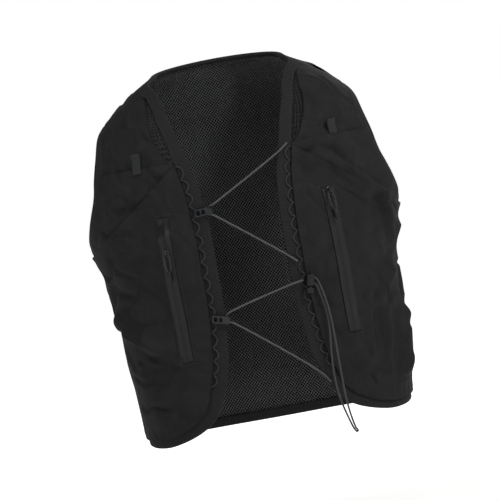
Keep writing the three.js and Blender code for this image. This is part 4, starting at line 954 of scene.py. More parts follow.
def finish_tree(tree, geometry, material):
    """Ends a tree with real geometry that has its material."""
    real = node(tree, "GeometryNodeRealizeInstances", {"Geometry": geometry})
    painted = node(tree, "GeometryNodeSetMaterial", {
        "Geometry": real.outputs[0], "Material": material})
    node(tree, "NodeGroupOutput", {0: painted.outputs[0]})
    return tree


def perforation_tree():
    """Opens a hole in each cell of a mesh, where the cell's attribute says so."""
    tree, given = new_tree("perforated knit", [
        ("Hole share", "NodeSocketFloat"), ("Material", "NodeSocketMaterial")])
    opens = node(tree, "GeometryNodeInputNamedAttribute", {"Name": "opens"}, data_type="BOOLEAN")
    drawn = node(tree, "GeometryNodeExtrudeMesh", {
        "Mesh": given.outputs["Geometry"], "Selection": opens.outputs[0], "Offset Scale": 0.0,
        "Individual": True}, mode="FACES")
    small = node(tree, "GeometryNodeScaleElements", {
        "Geometry": drawn.outputs["Mesh"], "Selection": drawn.outputs["Top"],
        "Scale": given.outputs["Hole share"]})
    open_mesh = node(tree, "GeometryNodeDeleteGeometry", {
        "Geometry": small.outputs[0], "Selection": drawn.outputs["Top"]}, domain="FACE")
    return finish_tree(tree, open_mesh.outputs[0], given.outputs["Material"])


def row_tree(name, primitive):
    """Repeats a small shape along edges, each laid along its run and flat on the cloth."""
    tree, given = new_tree(name, [
        ("Spacing", "NodeSocketFloat"), ("Size", "NodeSocketVector"),
        ("Material", "NodeSocketMaterial")])
    curve = node(tree, "GeometryNodeMeshToCurve", {"Mesh": given.outputs["Geometry"]})
    even = node(tree, "GeometryNodeResampleCurve", {
        "Curve": curve.outputs[0], "Length": given.outputs["Spacing"]}, mode="LENGTH")
    run = node(tree, "GeometryNodeInputTangent")
    lie = node(tree, "GeometryNodeInputNamedAttribute", {"Name": "lie"}, data_type="FLOAT_VECTOR")
    along = node(tree, "FunctionNodeAlignRotationToVector", {"Vector": run.outputs[0]}, axis="X")
    flat = node(tree, "FunctionNodeAlignRotationToVector", {
        "Rotation": along.outputs[0], "Vector": lie.outputs[0]}, axis="Z", pivot_axis="X")
    shape = node(tree, primitive)
    if primitive == "GeometryNodeMeshIcoSphere":
        shape.inputs["Radius"].default_value = 0.5
        shape.inputs["Subdivisions"].default_value = 1
    rows = node(tree, "GeometryNodeInstanceOnPoints", {
        "Points": even.outputs[0], "Instance": shape.outputs[0], "Rotation": flat.outputs[0],
        "Scale": given.outputs["Size"]})
    return finish_tree(tree, rows.outputs[0], given.outputs["Material"])


def baked(piece, name):
    """The evaluated piece as a plain mesh object, in place of the live one."""
    graph = bpy.context.evaluated_depsgraph_get()
    mesh = bpy.data.meshes.new_from_object(piece.evaluated_get(graph))
    mesh.name = name
    old = piece.data
    bpy.data.objects.remove(piece)
    bpy.data.meshes.remove(old)
    made = bpy.data.objects.new(name, mesh)
    bpy.context.scene.collection.objects.link(made)
    return made


def along_rows(name, rows, primitive, spacing, size, finish_name):
    """Small shapes along rows of points, each row with its points and their normals."""
    mesh = bpy.data.meshes.new(name)
    points = np.concatenate([p for p, _ in rows])
    normals = np.concatenate([n for _, n in rows])
    edges, start = [], 0
    for row, _ in rows:
        edges += [(start + k, start + k + 1) for k in range(len(row) - 1)]
        start += len(row)
    mesh.from_pydata((points * MM).tolist(), edges, [])
    lie = mesh.attributes.new("lie", "FLOAT_VECTOR", "POINT")
    lie.data.foreach_set("vector", normals.ravel())
    piece = bpy.data.objects.new(name, mesh)
    bpy.context.scene.collection.objects.link(piece)
    tree = bpy.data.node_groups.get(name + " rows") or row_tree(name + " rows", primitive)
    modifier = piece.modifiers.new("rows", "NODES")
    modifier.node_group = tree
    set_inputs(modifier, tree, {"Spacing": spacing, "Size": size, "Material": finish(finish_name)})
    return baked(piece, name)


# The mesh lining
TURN_STEPS = 721


def across_table(z, low, high):
    """Distance across the form from the first of two turns, for each of many turns between them."""
    turns = np.linspace(low, high, TURN_STEPS)
    z = np.atleast_1d(np.asarray(z, float))
    points = on_form(np.stack(np.broadcast_arrays(turns[None], z[:, None]), -1))
    steps = np.linalg.norm(np.diff(points, axis=1), axis=-1)
    return turns, np.concatenate([np.zeros((len(z), 1)), np.cumsum(steps, 1)], 1)


def inside_outline(points, outline):
    """Whether points lie inside a closed outline."""
    inside = np.zeros(len(points), bool)
    for (x1, y1), (x2, y2) in zip(outline, np.roll(outline, -1, 0)):
        crosses = (points[:, 1] < y1) != (points[:, 1] < y2)
        with np.errstate(divide="ignore", invalid="ignore"):
            at = x1 + (points[:, 1] - y1) / (y2 - y1) * (x2 - x1)
        inside ^= crosses & (points[:, 0] < at)
    return inside


def down_table(meridian):
    """Heights down the form and the distances down its surface at one turn."""
    z = np.linspace(60, -VEST_LENGTH, 1200)
    points = on_form(np.stack([np.full(len(z), float(meridian)), z], -1))
    return z, np.r_[0, np.cumsum(np.linalg.norm(np.diff(points, axis=0), axis=1))]


# How far the mesh hangs free: least distance, waves, and sizes of the waves in millimetres
LINING_EASE = 3.0
LINING_WAVES = 7.0
LINING_WAVE_SIZES = (48, 60, 150)
LINING_FADE = (16, 60)


def lining_slack(points, edges):
    """How far the mesh hangs free of the shell, in soft waves, inside its bound edges."""
    least, _ = nearest(points, edges)
    spots = points / LINING_WAVE_SIZES + (0, 0, 2)
    waves = np.array([noise.noise(Vector(spot)) for spot in spots])
    return -smooth_step(least, *LINING_FADE) * (LINING_EASE + LINING_WAVES * waves).clip(0)


def panel_outline(*runs):
    """One closed outline of runs of places, each ending where the next starts."""
    return np.concatenate([run[:-1] for run in runs])


def seams(panel):
    """Places down the shoulder seam and down the side seam of a panel."""
    return (seam_place(np.linspace(NECK_RISE, TIP_Z, SHOULDER_STEPS), panel),
            seam_place(np.linspace(UNDERARM_Z, SIDE_HEM_Z, SIDE_STEPS), panel))


def back_outline():
    """The outline of the back's lining, as places."""
    shares = np.linspace(0, 1, OUTLINE_STEPS)
    near, side = seams(-1)
    left = np.concatenate([near, BACK_ARMHOLE(shares), side])
    right = left * (-1, 1) + (360, 0)
    return panel_outline(left, BACK_HEM_CURVE(shares), right[::-1], BACK_NECK_CURVE(shares)[::-1])


def front_outline():
    """The outline of a front's lining, as places."""
    shares = np.linspace(0, 1, OUTLINE_STEPS)
    near, side = seams(1)
    return panel_outline(near, FRONT_ARMHOLE(shares), side, FRONT_HEM_CURVE(shares)[::-1],
                         FRONT_EDGE_CURVE(shares)[::-1])


OUTLINE_STEPS = 700
SHOULDER_STEPS = 120
SIDE_STEPS = 500
# Linings: outline, turns that bound them, turn of their straight thread and of their height
BACK_LINING = dict(outline=back_outline, low=60, high=300, centre=180, meridian=150,
                   edges=BACK_EDGE_POINTS, look="knitted mesh")
FRONT_LINING = dict(outline=front_outline, low=0, high=100, centre=90, meridian=50,
                    edges=FRONT_EDGE_POINTS, look="front mesh")


def laid_flat(outline, panel):
    """A lining's outline laid flat: distances across from its straight thread, and down."""
    turns, widths = across_table(outline[:, 1], panel["low"], panel["high"])
    middle = np.array([np.interp(panel["centre"], turns, w) for w in widths])
    across = np.array([np.interp(a, turns, w) for a, w in zip(outline[:, 0], widths)]) - middle
    heights, drops = down_table(panel["meridian"])
    return np.stack([across, -np.interp(-outline[:, 1], -heights, drops)], -1)


def mesh_cells(flat, pitch):
    """Lattice corners and diamond cells of a mesh inside a flat outline."""
    first = np.floor(flat.min(0) / pitch).astype(int) - 1
    last = np.ceil(flat.max(0) / pitch).astype(int) + 1
    p, q = np.meshgrid(np.arange(first[0], last[0]), np.arange(first[1], last[1]))
    cells = np.stack([p.ravel(), q.ravel()], -1)
    cells = cells[(cells.sum(1) % 2) == 0]
    cells = cells[inside_outline(cells * pitch, flat)]
    corners = cells[:, None] + np.array([(1, 0), (0, 1), (-1, 0), (0, -1)])[None]
    used, index = np.unique(corners.reshape(-1, 2), axis=0, return_inverse=True)
    return used, index.reshape(-1, 4)


def border_of(faces, count):
    """Which corners lie on the border of the cells."""
    edges = np.sort(np.stack([faces, np.roll(faces, -1, 1)], -1).reshape(-1, 2), 1)
    single, counts = np.unique(edges, axis=0, return_counts=True)
    border = np.zeros(count, bool)
    border[single[counts == 1].ravel()] = True
    return border


def laid_on_form(used, pitch, panel):
    """Places on the form of the lattice's corners, row by row."""
    heights, drops = down_table(panel["meridian"])
    places = np.empty((len(used), 2))
    levels, row_of = np.unique(used[:, 1], return_inverse=True)
    level_z = np.interp(-levels * pitch[1], drops, heights)
    turns, widths = across_table(level_z, panel["low"], panel["high"])
    for level, (z, width) in enumerate(zip(level_z, widths)):
        chosen = row_of == level
        start = np.interp(panel["centre"], turns, width)
        places[chosen, 0] = np.interp(used[chosen, 0] * pitch[0] + start, width, turns)
        places[chosen, 1] = z
    return places


def knit_piece(name, points, spots, quads, opens, look, sizes):
    """Strands around a hole in each open cell, from points on the body and their flat spots."""
    mesh = bpy.data.meshes.new(name)
    mesh.from_pydata((points * MM).tolist(), [], quads.tolist())
    mesh.attributes.new("opens", "BOOLEAN", "FACE").data.foreach_set("value", opens)
    layer = mesh.uv_layers.new(name="cloth")
    layer.data.foreach_set("uv", (spots[quads.ravel()] * MM).ravel())
    piece = bpy.data.objects.new(name, mesh)
    bpy.context.scene.collection.objects.link(piece)
    tree = bpy.data.node_groups.get("perforated knit") or perforation_tree()
    holes = piece.modifiers.new("holes", "NODES")
    holes.node_group = tree
    set_inputs(holes, tree, {"Hole share": sizes.hole_share, "Material": finish(look)})
    wall = piece.modifiers.new("strands", "SOLIDIFY")
    wall.thickness = sizes.knit
    wall.offset = 0
    return baked(piece, name)


def lining(names, panel, sizes, side=1):
    """The knitted mesh of a panel with real holes, in as many pieces as there are names."""
    pitch = np.array([sizes.hole_across / MM / 2, sizes.hole_rows / MM])
    outline = panel["outline"]()
    flat = laid_flat(outline, panel)
    used, faces = mesh_cells(flat, pitch)
    border = border_of(faces, len(used))
    spots = used * pitch
    places = laid_on_form(used, pitch, panel)
    for k in np.flatnonzero(border):
        places[k] = outline[((flat - spots[k]) ** 2).sum(1).argmin()]
    slack = lining_slack(on_form(places), panel["edges"])
    points = on_side(off(places, MESH_THICKNESS / 2 + slack), side)
    opens = border[faces].sum(1) < 2
    order = spots[faces].mean(1)[:, 0].argsort()
    cell_area = 2 * pitch[0] * pitch[1] * MM**2
    made = []
    for name, part in zip(names, np.array_split(order, len(names))):
        kept, renumbered = np.unique(faces[part], return_inverse=True)
        quads = renumbered.reshape(-1, 4)[:, ::side]
        knit = knit_piece(name, points[kept], spots[kept], quads, opens[part], panel["look"],
                          sizes)
        wide, tall = (float(length) for length in np.ptp(spots[kept], axis=0) * MM)
        area = float(min(cell_area * len(part), wide * tall))
        made.append((knit, dict(flat=(wide, tall), area=area)))
    return made


# Grids of the outer layers
MOUTH_REACH = 16
FLASK_MOUTH = 1.6
ZIP_POCKET_MOUTH = 3.0
MOUTH_STITCHED = (0.15, 0.2)
# How far the cloth runs under the tape, the hem and the armhole's binding
TAPE_TUCK = 1.5
HEM_TUCK = 2
ARM_TUCK = 2.5
SHELL_COLUMNS = 84
SHELL_ROWS = 132
FLASK_ROWS = 60
ZIP_POCKET_ROWS = 110
BACK_GRID = (150, 110)
EDGE_STEPS = 241
BACK_EDGE_STEPS = 181
ZIP_STEPS = 85
ARM_INSET = ARMHOLE_BINDING_WIDTH - ARM_TUCK


def front_grid(edge, rows):
    """A front's grid of places, set in from its front edge by a function of the way along it."""
    return patch(*front_bounds(edge, lambda s: hem_width(s) - HEM_TUCK, ARM_INSET),
                 SHELL_COLUMNS, rows)


def shell_edge(along):
    bare = crescent_width(along)
    return tape_width(along) + bare - TAPE_TUCK * (bare < 0.5)


def pocket_edge(along):
    return tape_width(along) + SEAM_GAP


def cut_between(grid, top_edge, foot_edge, rows):
    """The part of a grid between two edges, each given as height over distance across."""
    points = on_form(grid)
    down = np.linspace(0, 1, grid.shape[0])
    t = np.empty((2, grid.shape[1]))
    for k, edge in enumerate((top_edge, foot_edge)):
        above = points[..., 2] - edge(points[..., 0])
        for i in range(grid.shape[1]):
            t[k, i] = np.interp(0, -above[:, i], down)
    shares = t[0][None] + (t[1] - t[0])[None] * np.linspace(0, 1, rows + 1)[:, None]
    made = np.empty((rows + 1, grid.shape[1], 2))
    for i in range(grid.shape[1]):
        for axis in (0, 1):
            made[:, i, axis] = np.interp(shares[:, i], down, grid[:, i, axis])
    return made


def flask_top(x):
    return -POCKET_TOP_DROP + 0 * x


def flask_foot(x):
    return -POCKET_TOP_DROP - FLASK_POCKET_DEPTH + 0 * x


def diagonal_edge(x):
    (x1, z1), (x2, z2) = DIAGONAL_START, DIAGONAL_END
    return z1 + (z2 - z1) * (x - x1) / (x2 - x1) - 1.5 * np.sin(np.clip((x - x1) / (x2 - x1), 0, 1)
                                                               * np.pi)


def hem_foot(x):
    return -2.0 * VEST_LENGTH + 0 * x


def zip_places(front, sideways, down):
    """Places of the zip's tape: sideways from its middle in millimetres, down as a share."""
    around = front["zip_around"] + (front["zip_foot"] - front["zip_around"]) * down
    z = front["zip_top"] * VEST_LENGTH - down * ZIP_LENGTH
    at = np.stack([around, z], -1)
    out = normal_at(at)
    level = unit(np.stack([-out[..., 1], out[..., 0], 0 * out[..., 0]], -1))
    return place_of(on_form(at) + level * np.asarray(sideways)[..., None])


class VEST_OT_back(bpy.types.Operator):
    """Makes the back's mesh lining, shell, neck binding and hem"""
    bl_idname = "vest.back"
    bl_label = "Back panel"

    def execute(self, context):
        sizes = context.scene.vest_sizes
        for piece, cut in lining(["back_mesh_left", "back_mesh_middle", "back_mesh_right"],
                                 BACK_LINING, sizes):
            seat(piece, None, "lining", "back_mesh")
        bounds = back_bounds(NECK_OUTER_WIDTH - HEM_TUCK, ARM_INSET, HEM_WIDTH - HEM_TUCK)
        grid = patch(*bounds, *BACK_GRID)
        shell = cloth("back_panel_shell", grid, SHELL_INNER, over_back, sizes.cloth)
        seat(shell, "woven nylon", "shell", "back_shell")
        # Painted shade on the shell's inner face, which the mesh's holes show
        shade_inner_face(shell, "shell underside")
        cut_flat(shell, over_back(grid, SHELL_INNER), "hung", "back_neck_binding")
        shares = np.linspace(0, 1, BACK_EDGE_STEPS)
        neck = binding_rings(BACK_NECK_CURVE, shares, -1, NECK_OUTER_WIDTH, LIP_WIDTH,
                             DOWN_SHOULDER, DOWN_SHOULDER * ACROSS_BODY)
        seat(ring_piece("back_neck_binding", neck), "knitted tape", "tape", "neck_binding")
        hem = binding_rings(BACK_HEM_CURVE, shares, 1, HEM_WIDTH, HEM_WIDTH,
                            -DOWN_SIDE, -DOWN_SIDE * ACROSS_BODY)
        seat(ring_piece("back_hem_binding", hem), "knitted tape", "tape", "back_hem")
        return {"FINISHED"}


class VEST_OT_fronts(bpy.types.Operator):
    """Makes both fronts' mesh lining, shells, flask pockets and zip pockets"""
    bl_idname = "vest.fronts"
    bl_label = "Fronts"

    def execute(self, context):
        sizes = context.scene.vest_sizes
        for front in FRONTS:
            name, side = front["name"], front["side"]
            for piece, cut in lining([f"{name}_mesh_lining"], FRONT_LINING, sizes, side):
                seat(piece, None, "lining", f"{name}_front_mesh")
            raised = raised_on(side)
            grid = front_grid(shell_edge, SHELL_ROWS)
            shell = cloth(f"{name}_shell_cloth", grid, SHELL_INNER, raised, sizes.cloth, side)
            seat(shell, "woven nylon", "shell", f"{name}_front_shell")
            cut_flat(shell, raised(grid, SHELL_INNER), "hung", f"{name}_edge_tape")
            full = front_grid(pocket_edge, 4 * SHELL_ROWS)
            under = shell.name
            for part, top, foot, rows, inner, rise in (
                    ("flask_pocket", flask_top, flask_foot, FLASK_ROWS, FLASK_INNER, FLASK_MOUTH),
                    ("zip_pocket", diagonal_edge, hem_foot, ZIP_POCKET_ROWS, ZIP_POCKET_INNER,
                     ZIP_POCKET_MOUTH)):
                grid = cut_between(full, top, foot, rows)
                gape = mouth(on_form(grid), grid, MOUTH_REACH, rise)
                pocket = cloth(f"{name}_{part}_cloth", grid, inner, raised, sizes.cloth, side,
                               gape)
                seat(pocket, "woven nylon", "shell", f"{name}_{part}")
                cut_flat(pocket, raised(grid, inner + gape), "laid", under)
                under = pocket.name
        return {"FINISHED"}


class VEST_OT_bindings(bpy.types.Operator):
    """Makes the tapes down the front edges, the front hems and the armhole bindings"""
    bl_idname = "vest.bindings"
    bl_label = "Bindings"

    def execute(self, context):
        shares = np.linspace(0, 1, EDGE_STEPS)
        placket = binding_rings(FRONT_EDGE_CURVE, shares, 1, tape_width(shares), LIP_WIDTH,
                                DOWN_SHOULDER, AT_CORNER)
        from_corner = np.maximum(shares, SEAM_GAP / FRONT_HEM_CURVE.total)
        hem = binding_rings(FRONT_HEM_CURVE, from_corner, 1, hem_width(from_corner), HEM_WIDTH,
                            AT_CORNER, -DOWN_SIDE)
        halves = []
        for panel, curve in ((1, FRONT_ARMHOLE), (-1, BACK_ARMHOLE)):
            halves.append(binding_rings(curve, shares, -panel, ARMHOLE_BINDING_WIDTH, LIP_WIDTH,
                                        -DOWN_SHOULDER, DOWN_SIDE))
        down, up = halves
        ring = np.concatenate([
            (down[:1] + up[:1]) / 2, down[1:-1], (down[-1:] + up[-1:]) / 2, up[-2:0:-1]])
        for front in FRONTS:
            name, side = front["name"], front["side"]
            seat(ring_piece(f"{name}_edge_tape", placket, side), "knitted tape", "tape",
                 f"{name}_placket_tape")
            seat(ring_piece(f"{name}_hem_binding", hem, side), "knitted tape", "tape",
                 f"{name}_front_hem")
            seat(ring_piece(f"{name}_armhole_tape", ring, side, closed=True), "knitted tape",
                 "tape", f"{name}_armhole_binding")
        return {"FINISHED"}


class VEST_OT_zips(bpy.types.Operator):
    """Makes the zips' coated tapes with their teeth, and the pulls"""
    bl_idname = "vest.zips"
    bl_label = "Zips"

    def execute(self, context):
        sizes = context.scene.vest_sizes
        for front in FRONTS:
            name, side = front["name"], front["side"]
            raised = raised_on(side)
            steps = np.linspace(-0.5, 0.5, 15)
            sideways, down = np.meshgrid(steps * ZIP_TAPE_WIDTH, np.linspace(0, 1, ZIP_STEPS))
            places = zip_places(front, sideways, down)
            groove = 0.45 * np.exp(-((np.abs(sideways) - 2.2) / 1.1) ** 2)
            tape = cloth(f"{name}_zip_film", places, ZIP_STRIP_INNER, raised, sizes.cloth, side,
                         groove)
            seat(tape, "coated zip film", "zip", f"{name}_zip_tape")
            middle = zip_places(front, np.zeros(ZIP_STEPS), np.linspace(0, 1, ZIP_STEPS))
            rows = [(on_side(raised(middle, ZIP_STRIP_INNER + 0.8), side),
                     on_side(normal_at(middle), side))]
            teeth = along_rows(f"{name}_zip_teeth", rows, "GeometryNodeMeshCube", sizes.teeth,
                               Vector((0.75 * MM, 3.0 * MM, 0.7 * MM)), "moulded acetal")
            seat(teeth, None, "zip")
            for part, look, slot, bevel in (
                    ("zip_slider", "anodised metal", "slider", 0.35),
                    ("zip_pull_end", "moulded acetal", "plastic", 0.7),
                    ("webbing_loop", "webbing", "webbing", 0.3)):
                seat(bevelled(f"{name}_{part}", bevel), look, slot, f"{name}_{part}")
            seat(rounded_cord(f"{name}_zip_pull_cord"), "braided trim", "cord",
                 f"{name}_zip_pull_cord")
        return {"FINISHED"}


def merged_copy(node_name, suffix):
    """A copy of a CAD node's mesh with its doubles merged."""
    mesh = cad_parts[node_name].data.copy()
    mesh.name = node_name + suffix
    mesh.materials.clear()
    work = bmesh.new()
    work.from_mesh(mesh)
    bmesh.ops.remove_doubles(work, verts=work.verts, dist=1e-6)
    bmesh.ops.dissolve_limit(work, angle_limit=math.radians(1), verts=work.verts, edges=work.edges)
    work.to_mesh(mesh)
    work.free()
    made = bpy.data.objects.new(mesh.name, mesh)
    bpy.context.scene.collection.objects.link(made)
    return made


def bevelled(node_name, width):
    """A hard piece with its edges rounded off."""
    made = merged_copy(node_name, "_finished")
    edge = made.modifiers.new("edges", "BEVEL")
    edge.width = width * MM
    edge.segments = 2
    edge.limit_method = "ANGLE"
    edge.angle_limit = math.radians(35)
    edge.use_clamp_overlap = True
    made = baked(made, made.name)
    made.data.shade_smooth()
    made.data.set_sharp_from_angle(angle=math.radians(35))
    return made


def rounded_cord(node_name):
    """A CAD cord shaded smooth, with its braid's UVs."""
    made = merged_copy(node_name, "_finished")
    made.data.shade_smooth()
    layer = made.data.uv_layers.new(name="cloth")
    corner = np.empty(len(made.data.loops), np.int32)
    made.data.loops.foreach_get("vertex_index", corner)
    spots = np.empty(len(made.data.vertices) * 3)
    made.data.vertices.foreach_get("co", spots)
    spots = spots.reshape(-1, 3)[:, [0, 2]]
    layer.data.foreach_set("uv", spots[corner].ravel())
    return made


class VEST_OT_cords(bpy.types.Operator):
    """Makes the free loop of cord, the lacing and the daisy chains"""
    bl_idname = "vest.cords"
    bl_label = "Cords"

    def execute(self, context):
        route = catmull_rom(np.array(TAIL_CORD), 300)
        tail = tube("tail_cord_loop", route, LACE_DIAMETER)
        seat(tail, "braided tail", "cord", "tail_cord")
        for name, rows in (("upper_lace", UPPER_LACE), ("lower_lace", LOWER_LACE)):
            x, z, distance = np.array(rows, float).T
            places = front_place(np.abs(x), z) * np.stack([np.sign(x), np.ones(len(x))], -1)
            seat(tube(name + "_cord", catmull_rom(off(places, distance), 260), LACE_DIAMETER),
                 "braided cord", "cord", name)
        count = round((DAISY_TO - DAISY_FROM) * FRONT_EDGE_CURVE.total / DAISY_PITCH)
        steps = np.linspace(0, count, count * 14 + 1)
        share = DAISY_FROM + (DAISY_TO - DAISY_FROM) * steps / count
        bulge = np.abs(np.sin(np.pi * steps)) ** 0.8
        width = tape_width(share) - SEAM_GAP - DAISY_DIAMETER / 2 - DAISY_REACH * bulge
        chain = off(inset(FRONT_EDGE_CURVE, share, width, 1),
                    np.full(len(share), TAPE_TOP + SEAM_GAP + DAISY_DIAMETER / 2))
        for front in FRONTS:
            name, side = front["name"], front["side"]
            seat(tube(f"{name}_daisy_cord", on_side(chain, side), DAISY_DIAMETER, 8),
                 "braided trim", "cord", f"{name}_daisy_chain")
        return {"FINISHED"}


class VEST_OT_hardware(bpy.types.Operator):
    """Finishes the hooks and the cord lock"""
    bl_idname = "vest.hardware"
    bl_label = "Hooks and cord lock"

    def execute(self, context):
        for name, look, slot, bevel, body in (
                ("upper_hook", "anodised metal", "hook", 0.5, "root"),
                ("lower_hook", "anodised metal", "hook", 0.5, "root"),
                ("lock_body", "moulded acetal", "plastic", 0.5, "root"),
                ("lock_button", "moulded acetal", "plastic", 0.5, "button")):
            piece = bevelled(name, bevel)
            piece.data.materials.append(finish(look))
            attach(piece, body)
            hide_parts(name)
        return {"FINISHED"}


THREAD_LIFT = 0.05
ZIP_SEAM = 1.5


class VEST_OT_stitches(bpy.types.Operator):
    """Sews the bindings, the pocket edges and the zips"""
    bl_idname = "vest.stitches"
    bl_label = "Stitches"

    def execute(self, context):
        sizes = context.scene.vest_sizes
        shares = np.linspace(0.01, 0.99, 400)
        size = Vector((0.72 * sizes.stitch, sizes.thread, 0.6 * sizes.thread))
        for front in FRONTS:
            name, side = front["name"], front["side"]
            raised = raised_on(side)
            rows = []
            for curve, turn, wide, seams in (
                    (FRONT_EDGE_CURVE, 1, tape_width(shares) - 1.6, (DOWN_SHOULDER, AT_CORNER)),
                    (FRONT_HEM_CURVE, 1, hem_width(shares) - 1.8, (AT_CORNER, -DOWN_SIDE)),
                    (FRONT_ARMHOLE, -1, 2.6, (-DOWN_SHOULDER, DOWN_SIDE)),
                    (FRONT_ARMHOLE, -1, 8.6, (-DOWN_SHOULDER, DOWN_SIDE)),
                    (BACK_ARMHOLE, 1, 2.6, (-DOWN_SHOULDER, DOWN_SIDE)),
                    (BACK_ARMHOLE, 1, 8.6, (-DOWN_SHOULDER, DOWN_SIDE))):
                places = inset(curve, shares, wide, turn, *seams)
                rows.append((off(places, np.full(len(shares), TAPE_TOP + THREAD_LIFT)),
                             normal_at(places)))
            full = front_grid(pocket_edge, 2 * SHELL_ROWS)
            lines = [(cut_between(full, lambda x, e=edge, o=below: e(x) - o, hem_foot, 1)[0],
                      inner)
                     for edge, inner, below in ((flask_top, FLASK_INNER, 6),
                                                (diagonal_edge, ZIP_POCKET_INNER, 3),
                                                (diagonal_edge, ZIP_POCKET_INNER, 9))]
            beside = ZIP_TAPE_WIDTH / 2 + ZIP_SEAM
            down, across = np.linspace(-0.02, 1.02, 120), np.linspace(-1, 1, 30) * beside
            lines += [(zip_places(front, np.full(120, sideways), down), ZIP_POCKET_INNER)
                      for sideways in (-beside, beside)]
            lines += [(zip_places(front, across, np.full(30, end)), ZIP_POCKET_INNER)
                      for end in (-0.02, 1.02)]
            rows += [(raised(line, inner + sizes.cloth / MM + THREAD_LIFT), normal_at(line))
                     for line, inner in lines]
            rows = [(on_side(p, side), on_side(n, side)) for p, n in rows]
            piece = along_rows(f"{name}_stitches", rows, "GeometryNodeMeshIcoSphere",
                               sizes.stitch, size, "sewing thread")
            seat(piece, None, "tape")
        rows = []
        for curve, turn, wide, seams in (
                (BACK_NECK_CURVE, -1, 7.0, (DOWN_SHOULDER, DOWN_SHOULDER * ACROSS_BODY)),
                (BACK_HEM_CURVE, 1, HEM_WIDTH - 1.8, (-DOWN_SIDE, -DOWN_SIDE * ACROSS_BODY))):
            places = inset(curve, shares, wide, turn, *seams)
            rows.append((off(places, np.full(len(shares), TAPE_TOP + THREAD_LIFT)),
                         normal_at(places)))
        piece = along_rows("back_stitches", rows, "GeometryNodeMeshIcoSphere", sizes.stitch, size,
                           "sewing thread")
        seat(piece, None, "tape")
        return {"FINISHED"}


TARGET = Vector((0, 0, -0.197))
CAMERA_DISTANCE = 3.0
CAMERA_ELEVATION = math.radians(3)
CAMERA_ROLL = math.radians(10.3)
CAMERA_LENS = 180
SENSOR = 36
FLOOR_Z = -0.62
FLOOR_SIDES = 48
FLOOR_REACH = 30
# Lamps: name, place, what it is aimed at, width in metres and power in watts
LAMPS = [
    ("key softbox", (1.5, -1.5, 1.5), (0, 0, -0.2), 0.5, 44),
    ("fill softbox", (-1.9, -1.5, 0.6), (0, 0, -0.2), 0.8, 6),
    ("top softbox", (-0.2, -0.8, 2.0), (0, 0.1, -0.1), 0.7, 20),
    ("back softbox", (0.8, 1.9, 0.9), (0, 0, -0.2), 1.2, 10),
]


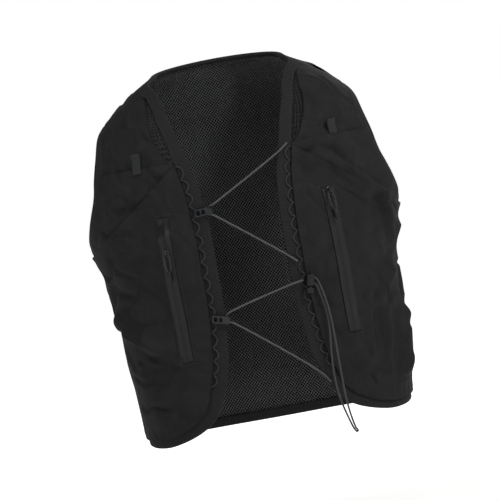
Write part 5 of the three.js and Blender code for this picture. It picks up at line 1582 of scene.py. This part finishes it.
class VEST_OT_stage(bpy.types.Operator):
    """Makes the camera, the pale floor and the soft studio lights"""
    bl_idname = "vest.stage"
    bl_label = "Stage"

    def execute(self, context):
        scene = context.scene
        colours = scene.vest_colours
        back = Vector((0, -math.cos(CAMERA_ELEVATION), math.sin(CAMERA_ELEVATION)))
        lens = bpy.data.cameras.new("camera")
        lens.lens, lens.sensor_width = CAMERA_LENS, SENSOR
        lens.clip_end = 100
        camera = bpy.data.objects.new("camera", lens)
        scene.collection.objects.link(camera)
        turn = (-back).to_track_quat("-Z", "Y").to_matrix().to_4x4()
        roll = Matrix.Rotation(-CAMERA_ROLL, 4, "Z")
        camera.matrix_world = Matrix.Translation(TARGET + back * CAMERA_DISTANCE) @ turn @ roll
        scene.camera = camera

        for name, place, aim, width, power in LAMPS:
            lamp = bpy.data.lights.new(name, "AREA")
            lamp.shape, lamp.size, lamp.energy = "SQUARE", width, power
            light = bpy.data.objects.new(name, lamp)
            scene.collection.objects.link(light)
            light.location = place
            aimed = Vector(aim) - Vector(place)
            light.rotation_euler = aimed.to_track_quat("-Z", "Y").to_euler()

        world = bpy.data.worlds.new("studio")
        world.use_nodes = True
        sky = world.node_tree
        up = node(sky, "ShaderNodeSeparateXYZ", {
            "Vector": node(sky, "ShaderNodeTexCoord").outputs["Generated"]})
        tilt = node(sky, "ShaderNodeMath", {0: up.outputs["Z"]}, operation="ABSOLUTE")
        bright = node(sky, "ShaderNodeMapRange", {
            "Value": tilt.outputs[0], "From Min": 0.16, "From Max": 0.34, "To Min": 1.0,
            "To Max": 0.1})
        sky.nodes["Background"].inputs["Color"].default_value = (1, 1, 1, 1)
        sky.links.new(bright.outputs[0], sky.nodes["Background"].inputs["Strength"])
        scene.world = world
        scene.view_settings.view_transform = "Standard"

        made, tree, shader = material_tree("painted floor", colours.floor, 0.9, **{
            "Emission Color": (1, 1, 1, 1)})
        own = node(tree, "ShaderNodeTexCoord").outputs["Object"]
        away = node(tree, "ShaderNodeVectorMath", {0: own}, operation="LENGTH")
        glow = node(tree, "ShaderNodeMapRange", {
            "Value": away.outputs["Value"], "From Min": 0.9, "From Max": 1.5, "To Min": 0.3,
            "To Max": 0.85})
        tree.links.new(glow.outputs[0], shader.inputs["Emission Strength"])
        mottled(tree, shader, colours.floor, own, 3.0, 0.98, 1.0)
        mesh = bpy.data.meshes.new("floor")
        turns = [2 * math.pi * k / FLOOR_SIDES for k in range(FLOOR_SIDES)]
        ring = [(FLOOR_REACH * math.cos(t), FLOOR_REACH * math.sin(t), FLOOR_Z) for t in turns]
        mesh.from_pydata(ring, [], [list(range(FLOOR_SIDES))])
        mesh.materials.append(made)
        floor = bpy.data.objects.new("floor", mesh)
        scene.collection.objects.link(floor)
        return {"FINISHED"}


class VEST_PT_panel(bpy.types.Panel):
    """Lists what the vest is made of"""
    bl_idname = "VEST_PT_panel"
    bl_label = "Hydration vest"
    bl_space_type = "VIEW_3D"
    bl_region_type = "UI"
    bl_category = "Vest"

    def draw(self, context):
        for operator in OPERATORS:
            self.layout.operator(operator.bl_idname)
        for group in (context.scene.vest_sizes, context.scene.vest_colours):
            for name in group.bl_rna.properties.keys():
                if name not in {"rna_type", "name"}:
                    self.layout.prop(group, name)


OPERATORS = (VEST_OT_stage, VEST_OT_cords, VEST_OT_back, VEST_OT_fronts, VEST_OT_bindings,
             VEST_OT_zips, VEST_OT_hardware, VEST_OT_stitches)
CLASSES = (VestSizes, VestColours, *OPERATORS, VEST_PT_panel)


def register():
    for kind in CLASSES:
        bpy.utils.register_class(kind)
    bpy.types.Scene.vest_sizes = PointerProperty(type=VestSizes)
    bpy.types.Scene.vest_colours = PointerProperty(type=VestColours)


def unregister():
    del bpy.types.Scene.vest_colours
    del bpy.types.Scene.vest_sizes
    for kind in reversed(CLASSES):
        bpy.utils.unregister_class(kind)


def main():
    register()
    for operator in OPERATORS:
        group, name = operator.bl_idname.split(".")
        getattr(getattr(bpy.ops, group), name)()


if __name__ == "__main__":
    main()
